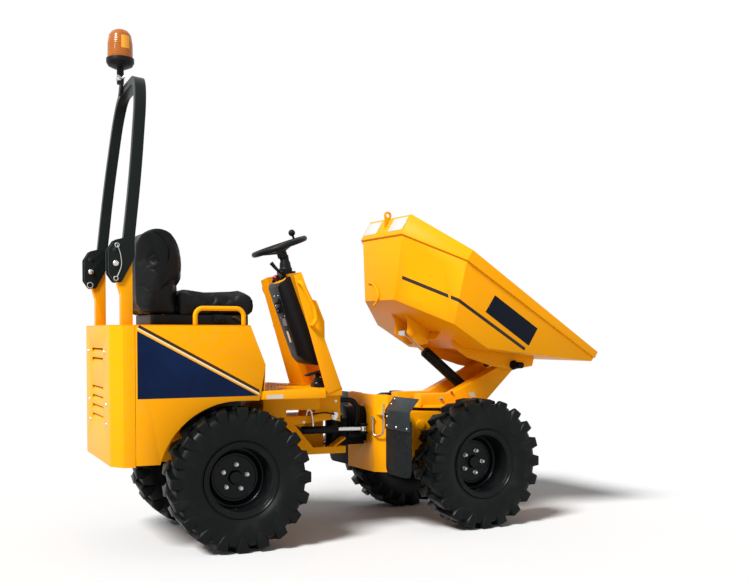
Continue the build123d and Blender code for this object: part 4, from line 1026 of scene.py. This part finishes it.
@operator("Deck")
def deck(context):
    """Treadplate bars and the oil valve's pedal at the console's foot."""
    bars = []
    pitch = 0.028

    def fill(x_low, x_high, y_low, y_high):
        for i in range(int((x_high - x_low) / pitch)):
            for j in range(int((y_high - y_low) / pitch)):
                tilt = 1 if (i + j) % 2 else -1
                spot = (x_low + (i + 0.5) * pitch, y_low + (j + 0.5) * pitch, DECK_Z)
                bars.append((spot, (0, 0, 1), (tilt, 1, 0)))

    fill(-0.500, -0.215, -0.412, 0.412)
    for side in (-1, 1):
        low, high = sorted((side * 0.115, side * 0.255))
        fill(-0.205, -0.085, low, high)
    stamped("deck_tread", tread_bar, bars, body_paint, "rear_chassis", size=0.025)

    work = bmesh.new()
    add_box(work, (-0.188, -0.226, DECK_Z + 0.001), (-0.120, -0.160, DECK_Z + 0.022))
    add_box(work, (-0.178, -0.214, DECK_Z + 0.018), (-0.132, -0.172, DECK_Z + 0.050))
    add_lathe(work, [(0, 0), (0.019, 0), (0.016, 0.010), (0.019, 0.016), (0.014, 0.026), (0, 0.028)],
              Matrix.Translation((-0.158, -0.193, DECK_Z + 0.045)), 24)
    add_prism(work, [(-0.226, DECK_Z + 0.064), (-0.150, DECK_Z + 0.086), (-0.148, DECK_Z + 0.080),
        (-0.222, DECK_Z + 0.057)], -0.222, -0.166)
    add_tube(work, curve_through([(-0.130, -0.193, DECK_Z + 0.030), (-0.118, -0.193, DECK_Z + 0.060),
        (-0.152, -0.193, DECK_Z + 0.080)]), 0.005)
    settle("foot_pedal", work, black_plastic, "rear_chassis", edge=0.001)
    stamped("foot_pedal_bolts", hex_bolt, spots_on([(-0.181, -0.219, DECK_Z + 0.022),
        (-0.127, -0.219, DECK_Z + 0.022), (-0.155, -0.212, DECK_Z + 0.050)], (0, 0, 1), (1, 0, 0)),
        bright_steel, "rear_chassis", size=0.010)

    work = bmesh.new()
    add_box(work, (-0.505, -0.4216, 0.709), (-0.425, -0.4211, 0.727))
    settle("deck_edge_plate", work, white_film, "rear_chassis")


@operator("Nose fittings")
def nose_fittings(context):
    """Hose, steering fittings and rod ends where the two halves meet, and the lock link."""
    work = bmesh.new()
    add_tube(work, curve_through([(-0.050, -0.098, 0.668), (0.020, -0.100, 0.672), (0.066, -0.101, 0.664),
        (0.088, -0.101, 0.630), (0.090, -0.101, 0.575), (0.086, -0.098, 0.535)]), 0.0145, 16)
    add_tube(work, curve_through([(-0.180, -0.152, 0.606), (-0.110, -0.152, 0.612),
        (-0.052, -0.145, 0.602)]), 0.004)
    settle("nose_hose", work, rubber, "rear_chassis")

    work = bmesh.new()
    add_lathe(work, [(0, 0), (0.019, 0), (0.021, 0.004), (0.021, 0.010), (0.013, 0.013), (0.013, 0.019),
        (0, 0.019)], Matrix.Translation((-0.044, -0.128, 0.592)) @ OUT_RIGHT, 24)
    add_tube(work, curve_through([(-0.206, -0.142, 0.600), (-0.204, -0.150, 0.6228),
        (-0.190, -0.152, 0.6288), (-0.180, -0.152, 0.606), (-0.174, -0.152, 0.560)]), 0.0055)
    add_lathe(work, [(0, 0), (0.009, 0), (0.009, 0.016), (0.006, 0.018), (0.006, 0.024), (0, 0.024)],
              Matrix.Translation((-0.174, -0.152, 0.545)), 16)
    settle("nose_fittings_steel", work, bright_steel, "rear_chassis", edge=0.0006)
    stamped("nose_bolts", hex_bolt, spots_on([(-0.214, -0.1282, 0.565), (-0.038, -0.1282, 0.668)],
        (0, -1, 0)), bright_steel, "rear_chassis", size=0.009)

    # Lock link on the front frame's chamfered corner.
    work = bmesh.new()
    add_tube(work, curve_through([(0.186, -0.214, 0.652), (0.184, -0.212, 0.580), (0.184, -0.212, 0.508),
        (0.176, -0.196, 0.486), (0.160, -0.170, 0.484), (0.152, -0.156, 0.505), (0.152, -0.156, 0.576)]),
        0.0045)
    out = Vector((-0.74, -0.67, 0)).normalized()
    for x, y, z in ((0.152, -0.156, 0.576), (0.184, -0.212, 0.600)):
        start = Vector((x, y, z)) + out * 0.010
        add_lathe(work, [(0, 0), (0.0085, 0), (0.0085, 0.005), (0.005, 0.006), (0.005, 0.026), (0, 0.026)],
                  along_to(start, start - out), 16)
    settle("lock_link", work, bright_steel, "front_chassis", FRONT)

    # Bolts of the guards, both sides.
    spots = []
    upright = ((0.222, 0.586), (0.222, 0.538), (0.316, 0.536), (0.424, 0.536))
    for side in (-1, 1):
        spots += spots_on([(0.2000, side * y, z) for y, z in upright], (-1, 0, 0))
        spots += spots_on([(0.2243, side * 0.225, 0.650), (0.2453, side * 0.225, 0.676)], (-0.78, 0, 0.63),
            (0.63, 0, 0.78))
    stamped("guard_bolts", dome_bolt, spots, bright_steel, "front_chassis", FRONT, size=0.014)


@operator("Turntable fittings")
def turntable_fittings(context):
    """Nuts, plug and blank plate on the turntable's arms."""
    face = -0.1591
    stamped("turntable_nuts", hex_bolt, spots_on([(0.574, face, 0.659)], (0, -1, 0))
            + spots_on([(0.574, -face, 0.659)], (0, 1, 0)), bright_steel, "turntable", FRONT, size=0.015)
    work = bmesh.new()
    add_prism(work, [(0.756, 0.690), (0.770, 0.668), (0.803, 0.664), (0.790, 0.694)], face - 0.0006,
        face - 0.0001)
    settle("turntable_plate", work, white_film, "turntable", FRONT)
    work = bmesh.new()
    add_lathe(work, [(0, 0), (0.008, 0), (0.008, 0.004), (0.004, 0.006), (0.004, 0.010), (0, 0.011)],
              Matrix.Translation((0.641, face, 0.696)) @ OUT_RIGHT, 16)
    settle("turntable_nipple", work, red_plastic, "turntable", FRONT)


@operator("Skip fittings")
def skip_fittings(context):
    """Nuts under the rim band, lashing half ring and plate screws on the skip."""
    nuts = []
    for side in (-1, 1):
        nuts += spots_on([(0.36 + 0.125 * i, side * 0.4680, -0.0675) for i in range(7)],
            (0, side * 0.98, -0.21))
    stamped("skip_band_nuts", dome_bolt, nuts, body_paint, "skip", SKIP, size=0.010)
    work = bmesh.new()
    ring = curve_through([(0.119, 0.120, -0.276), (0.120, 0.085, -0.277), (0.127, 0.050, -0.291),
        (0.142, 0.012, -0.319), (0.157, 0.001, -0.348), (0.170, 0.020, -0.372), (0.178, 0.046, -0.388)])
    add_tube(work, ring, 0.006)
    settle("skip_lashing_ring", work, body_paint, "skip", SKIP)
    stamped("skip_plate_screws", dome_bolt, spots_on([(-0.0002, y, 0.005)
        for y in (0.0665, 0.2235, -0.0465, -0.2135)], (-1, 0, 0)), bright_steel, "skip", SKIP, size=0.008)


@operator("Control fittings")
def control_fittings(context):
    """Switches, knob, key switch, lever, column cover and blank plates on the control box."""
    # Oval yellow panel on the sloping top, with three switches and a red knob.
    work = bmesh.new()
    add_tapered(work, circle(0.030, 40, 0.080), ((1.0, 0.0002), (1.0, 0.0022)))
    settle("control_top_plate", work, body_paint, "rear_chassis", top_frame(0.034), edge=0.0006)
    work = bmesh.new()
    for u, v, radius, height in ((0.012, -0.045, 0.010, 0.014), (0.0, -0.012, 0.008, 0.012),
            (-0.008, 0.030, 0.010, 0.012)):
        add_lathe(work, [(0, 0), (radius, 0), (radius * 0.95, height * 0.7), (radius * 0.7, height),
            (0, height)], Matrix.Translation((u, v, 0.0021)), 24)
    settle("control_switches", work, black_plastic, "rear_chassis", top_frame(0.034))
    work = bmesh.new()
    add_lathe(work, [(0, 0), (0.006, 0), (0.006, 0.010), (0.015, 0.012), (0.017, 0.020), (0.012, 0.027),
        (0, 0.029)], Matrix.Translation((-0.006, -0.050, 0.0021)), 24)
    settle("control_red_knob", work, red_plastic, "rear_chassis", top_frame(0.034))

    # Direction lever on the column's left, cover round the column.
    work = bmesh.new()
    lever = curve_through([(-0.282, -0.028, 1.318), (-0.318, -0.062, 1.330), (-0.345, -0.068, 1.352),
        (-0.366, -0.070, 1.374)])
    add_tube(work, lever, [0.005 + 0.0055 * i / (len(lever) - 1) for i in range(len(lever))])
    settle("direction_lever", work, black_plastic, "rear_chassis")
    work = bmesh.new()
    start = Vector((-0.262, 0, 1.322))
    profile = [(0, 0), (0.034, 0), (0.034, 0.030), (0.030, 0.036), (0.028, 0.058), (0.023, 0.070),
        (0.021, 0.100), (0, 0.100)]
    add_lathe(work, profile, along_to(start, start + Vector((-0.10, 0, 0.95))), 32)
    settle("column_cover", work, black_plastic, "rear_chassis", edge=0.0015)

    # What the driver faces on the box: key switch, lamps, blank plates.
    work = bmesh.new()
    add_box(work, (-0.040, -0.030, 0), (0.040, 0.020, 0.006))
    for u, v in ((0.022, -0.010), (-0.008, -0.008), (-0.028, 0.004)):
        add_lathe(work, [(0, 0.004), (0.010, 0.004), (0.009, 0.014), (0.004, 0.015), (0.004, 0.024),
            (0, 0.024)], Matrix.Translation((u, v, 0)), 20)
    settle("control_key_switch", work, black_plastic, "rear_chassis", console_frame(0.470, -0.0002, -0.012),
        edge=0.001)
    screws = ((0.055, -0.03, 0.0), (0.055, 0.03, 0.0), (-0.055, -0.034, 0.0), (-0.06, 0.03, 0.0),
        (0.0, 0.05, 0.0))
    stamped("control_screws", dome_bolt, spots_on(screws, (0, 0, 1), (1, 0, 0)),
            bright_steel, "rear_chassis", console_frame(0.470, 0.0, -0.010), size=0.008)
    for label, finish, along, half, width in (("upper", grey_plate, 0.385, 0.020, 0.055),
            ("lower", cream_film, 0.305, 0.030, 0.026)):
        work = bmesh.new()
        add_box(work, (-half, -width / 2, FILM_GAP), (half, width / 2, 0.0007))
        settle(f"control_plate_{label}", work, finish, "rear_chassis", console_frame(along, 0.0, -0.010))


@operator("Seat fittings")
def seat_fittings(context):
    """Slide, adjuster and lever under the cushion."""
    work = bmesh.new()
    add_box(work, (-0.700, -0.216, 1.070), (-0.655, -0.1895, 1.108))
    add_lathe(work, [(0, 0), (0.012, 0), (0.012, 0.008), (0, 0.009)],
              Matrix.Translation((-0.678, -0.216, 1.090)) @ OUT_RIGHT, 20)
    settle("seat_adjuster", work, black_plastic, "rear_chassis", edge=0.0015)
    work = bmesh.new()
    add_tube(work, curve_through([(-0.600, -0.150, 1.094), (-0.604, -0.200, 1.096), (-0.590, -0.216, 1.092),
        (-0.556, -0.218, 1.066)]), 0.0055)
    settle("seat_lever", work, brown_film, "rear_chassis")
    # Piping round the side wings of the back, the same on both sides.
    work = bmesh.new()
    run = [(-0.985, 1.500), (-0.950, 1.474), (-0.917, 1.420), (-0.913, 1.371), (-0.935, 1.323),
        (-0.954, 1.275), (-0.957, 1.238)]
    for side in (-1, 1):
        add_tube(work, curve_through([(x, side * 0.2065, z) for x, z in run]), 0.003, 8)
    settle("seat_piping", work, seat_vinyl, "rear_chassis")


@operator("Hinge fittings")
def hinge_fittings(context):
    """Pin heads, clips, lanyard and lock lever at the roll bar's hinges."""
    boss_outer, boss_inner, plate_outer, plate_inner, lanyard = 0.3940, 0.3120, 0.3880, 0.3180, -0.3905
    heads = []
    for face, side in ((-boss_outer, -1), (boss_outer, 1), (boss_inner, -1), (-boss_inner, 1)):
        heads.append(((-1.197, face, 1.329), (0, side, 0), (0, 0, 1)))
    stamped("hinge_pin_heads", dome_bolt, heads, bright_steel, "roll_bar", size=0.028)
    # Thin dark discs on the plates' faces: painted shade standing in for the inside of the spare pin holes.
    work = bmesh.new()
    for face, side in ((-plate_outer, -1), (plate_outer, 1), (plate_inner, -1), (-plate_inner, 1)):
        add_lathe(work, [(0, 0), (0.0085, 0), (0.0080, 0.0008), (0, 0.0008)],
                  along_to((-1.201, face, 1.391), (-1.201, face + side, 1.391)), 20)
    settle("hinge_spare_holes", work, dark_iron, "roll_bar")

    def clip_ring(work, x, y, z, radius, wire):
        angles = [math.tau * i / 16 for i in range(17)]
        add_tube(work, [(x + radius * math.sin(a), y, z + radius * math.cos(a)) for a in angles], wire, 8)
    work = bmesh.new()
    add_tube(work, curve_through([(x, lanyard, z) for x, z in (
        (-1.190, 1.412), (-1.176, 1.372), (-1.172, 1.320), (-1.190, 1.270))]), 0.0022, 10)
    clip_ring(work, -1.190, lanyard, 1.410, 0.009, 0.0022)
    clip_ring(work, -1.196, lanyard, 1.262, 0.009, 0.0022)
    clip_ring(work, -1.200, 0.3155, 1.262, 0.014, 0.0025)
    settle("hinge_clips", work, bright_steel, "roll_bar")
    work = bmesh.new()
    add_tube(work, curve_through([(-1.204, -0.3060, 1.322), (-1.196, -0.3110, 1.300),
        (-1.180, -0.3140, 1.268)]), 0.0045)
    settle("hinge_lock_lever", work, bright_steel, "roll_bar")


@operator("Fasteners")
def fasteners(context):
    """Round-headed bolts of the cowl."""
    spots = spots_on([(BODY_REAR, y, z) for y, z in ((0.266, 0.93), (-0.201, 0.93), (0.219, 0.592),
        (-0.245, 0.600), (0.24, 0.69), (-0.24, 0.69))], (-1, 0, 0))
    stamped("cowl_bolts", dome_bolt, spots, bright_steel, "rear_chassis", size=0.020)


@operator("Steering wheel")
def steering(context):
    """Wheel, boss cap and column."""
    dressed("steering_wheel", black_plastic, edge=0.001)
    dressed("steering_column", black_plastic)


@operator("Beacon")
def beacon(context):
    """Amber beacon with its reflector patch and wing nuts."""
    dressed("beacon_base", black_plastic, edge=0.002)
    dressed("beacon_lens", amber_lens, edge=0.006, segments=4)
    low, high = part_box("beacon_lens")
    middle = (low + high) / 2
    radius = (high.x - low.x) / 2
    work = bmesh.new()
    rings = []
    angles = [math.radians(-95 + 5 * i) for i in range(9)]
    for height, lift in ((-0.030, -0.0005), (-0.030, 0.0006), (0.032, 0.0006), (0.032, -0.0005)):
        ring = [Vector((math.cos(a), math.sin(a), 0)) * (radius + lift) for a in angles]
        rings.append([work.verts.new(middle + spot + Vector((0, 0, height))) for spot in ring])
    loop_faces(work, rings + [rings[0]], closed=False, caps=False)
    for end in (0, -1):
        work.faces.new([ring[end] for ring in rings])
    settle("beacon_reflector", work, reflector_lens, "roll_bar", Matrix.Identity(4))
    work = bmesh.new()
    add_lathe(work, [(0, 0), (0.019, 0), (0.021, 0.003), (0.021, 0.013), (0.019, 0.016), (0, 0.016)],
              Matrix.Translation((-1.080, 0.100, 2.252)), 24)
    for wing in (-1, 1):
        add_tube(work, [(-1.080, 0.084, 2.260), (-1.080 + wing * 0.010, 0.074, 2.266),
            (-1.080 + wing * 0.020, 0.068, 2.272)], [0.005, 0.006, 0.0035], 10)
    settle("beacon_wing_nuts", work, bright_steel, "roll_bar")


@operator("Stage")
def stage(context):
    """Floor, lamps, world and camera."""
    settings = context.scene.dumper_stage
    scene = context.scene
    scene.view_settings.view_transform = "Standard"

    mesh = bpy.data.meshes.new("floor")
    half = 30.0
    mesh.from_pydata([(-half, -half, 0), (half, -half, 0), (half, half, 0), (-half, half, 0)], [],
        [(0, 1, 2, 3)])
    floor = new_object("floor", mesh)
    shader = Shader("floor_white")
    shader.set(Base_Color=shader.mix(shader.noise(3.0, 3.0), (0.665, 0.665, 0.66), (0.68, 0.68, 0.675)),
        Roughness=0.9, Specular_IOR_Level=0.05)
    mesh.materials.append(shader.material)

    world = bpy.data.worlds.new("studio")
    scene.world = world
    world.use_nodes = True
    tree = world.node_tree
    sky = tree.nodes["Background"]
    sky.inputs["Color"].default_value = (0.95, 0.97, 1.0, 1)
    sky.inputs["Strength"].default_value = settings.fill
    backdrop = tree.nodes.new("ShaderNodeBackground")
    backdrop.inputs["Color"].default_value = (1, 1, 1, 1)
    mixer = tree.nodes.new("ShaderNodeMixShader")
    path = tree.nodes.new("ShaderNodeLightPath")
    sums = []
    for _ in range(2):
        node = tree.nodes.new("ShaderNodeMath")
        node.operation = "ADD"
        node.use_clamp = True
        sums.append(node)
    wires = ((path.outputs["Is Camera Ray"], sums[0].inputs[0]),
        (path.outputs["Is Glossy Ray"], sums[0].inputs[1]), (sums[0].outputs[0], sums[1].inputs[0]),
        (path.outputs["Is Transmission Ray"], sums[1].inputs[1]), (sums[1].outputs[0], mixer.inputs[0]),
        (sky.outputs[0], mixer.inputs[1]), (backdrop.outputs[0], mixer.inputs[2]),
        (mixer.outputs[0], tree.nodes["World Output"].inputs["Surface"]))
    for source, target in wires:
        tree.links.new(source, target)

    sun = bpy.data.lights.new("key_lamp", "SUN")
    sun.energy = settings.key
    sun.angle = math.radians(16)
    lamp = new_object("key_lamp", sun)
    key_direction = Vector((0.62, 0.36, -0.70))
    lamp.rotation_euler = key_direction.to_track_quat("-Z", "Y").to_euler()

    level = math.cos(settings.pitch)
    forward = Vector((math.sin(settings.yaw) * level, math.cos(settings.yaw) * level,
        -math.sin(settings.pitch)))
    camera_data = bpy.data.cameras.new("view")
    camera_data.sensor_width = 36.0
    camera_data.lens = settings.lens
    camera_data.shift_x = settings.shift_x
    camera_data.shift_y = settings.shift_y
    camera = new_object("view", camera_data)
    camera.location = REAR @ Vector(settings.place)
    camera.rotation_euler = forward.to_track_quat("-Z", "Y").to_euler()
    scene.camera = camera


class DUMPER_PT_panel(bpy.types.Panel):
    """Sidebar list of the dumper's pieces."""
    bl_label = "Site Dumper"
    bl_space_type = "VIEW_3D"
    bl_region_type = "UI"
    bl_category = "Dumper"

    def draw(self, context):
        scene = context.scene
        for group in (scene.dumper_paint, scene.dumper_tyre, scene.dumper_stage):
            for name in group.bl_rna.properties.keys():
                if name not in ("rna_type", "name"):
                    self.layout.prop(group, name)
        for kind in PIECE_OPERATORS:
            self.layout.operator(kind.bl_idname)


GROUPS = {"dumper_paint": DumperPaint, "dumper_tyre": DumperTyre, "dumper_stage": DumperStage}


def register():
    for kind in (*GROUPS.values(), *PIECE_OPERATORS, DUMPER_PT_panel):
        bpy.utils.register_class(kind)
    for name, group in GROUPS.items():
        setattr(bpy.types.Scene, name, bpy.props.PointerProperty(type=group))


def unregister():
    for name in GROUPS:
        delattr(bpy.types.Scene, name)
    for kind in reversed((*GROUPS.values(), *PIECE_OPERATORS, DUMPER_PT_panel)):
        bpy.utils.unregister_class(kind)


def main():
    register()
    for kind in PIECE_OPERATORS:
        getattr(bpy.ops.dumper, kind.bl_idname.split(".")[1])()


if __name__ == "__main__":
    main()
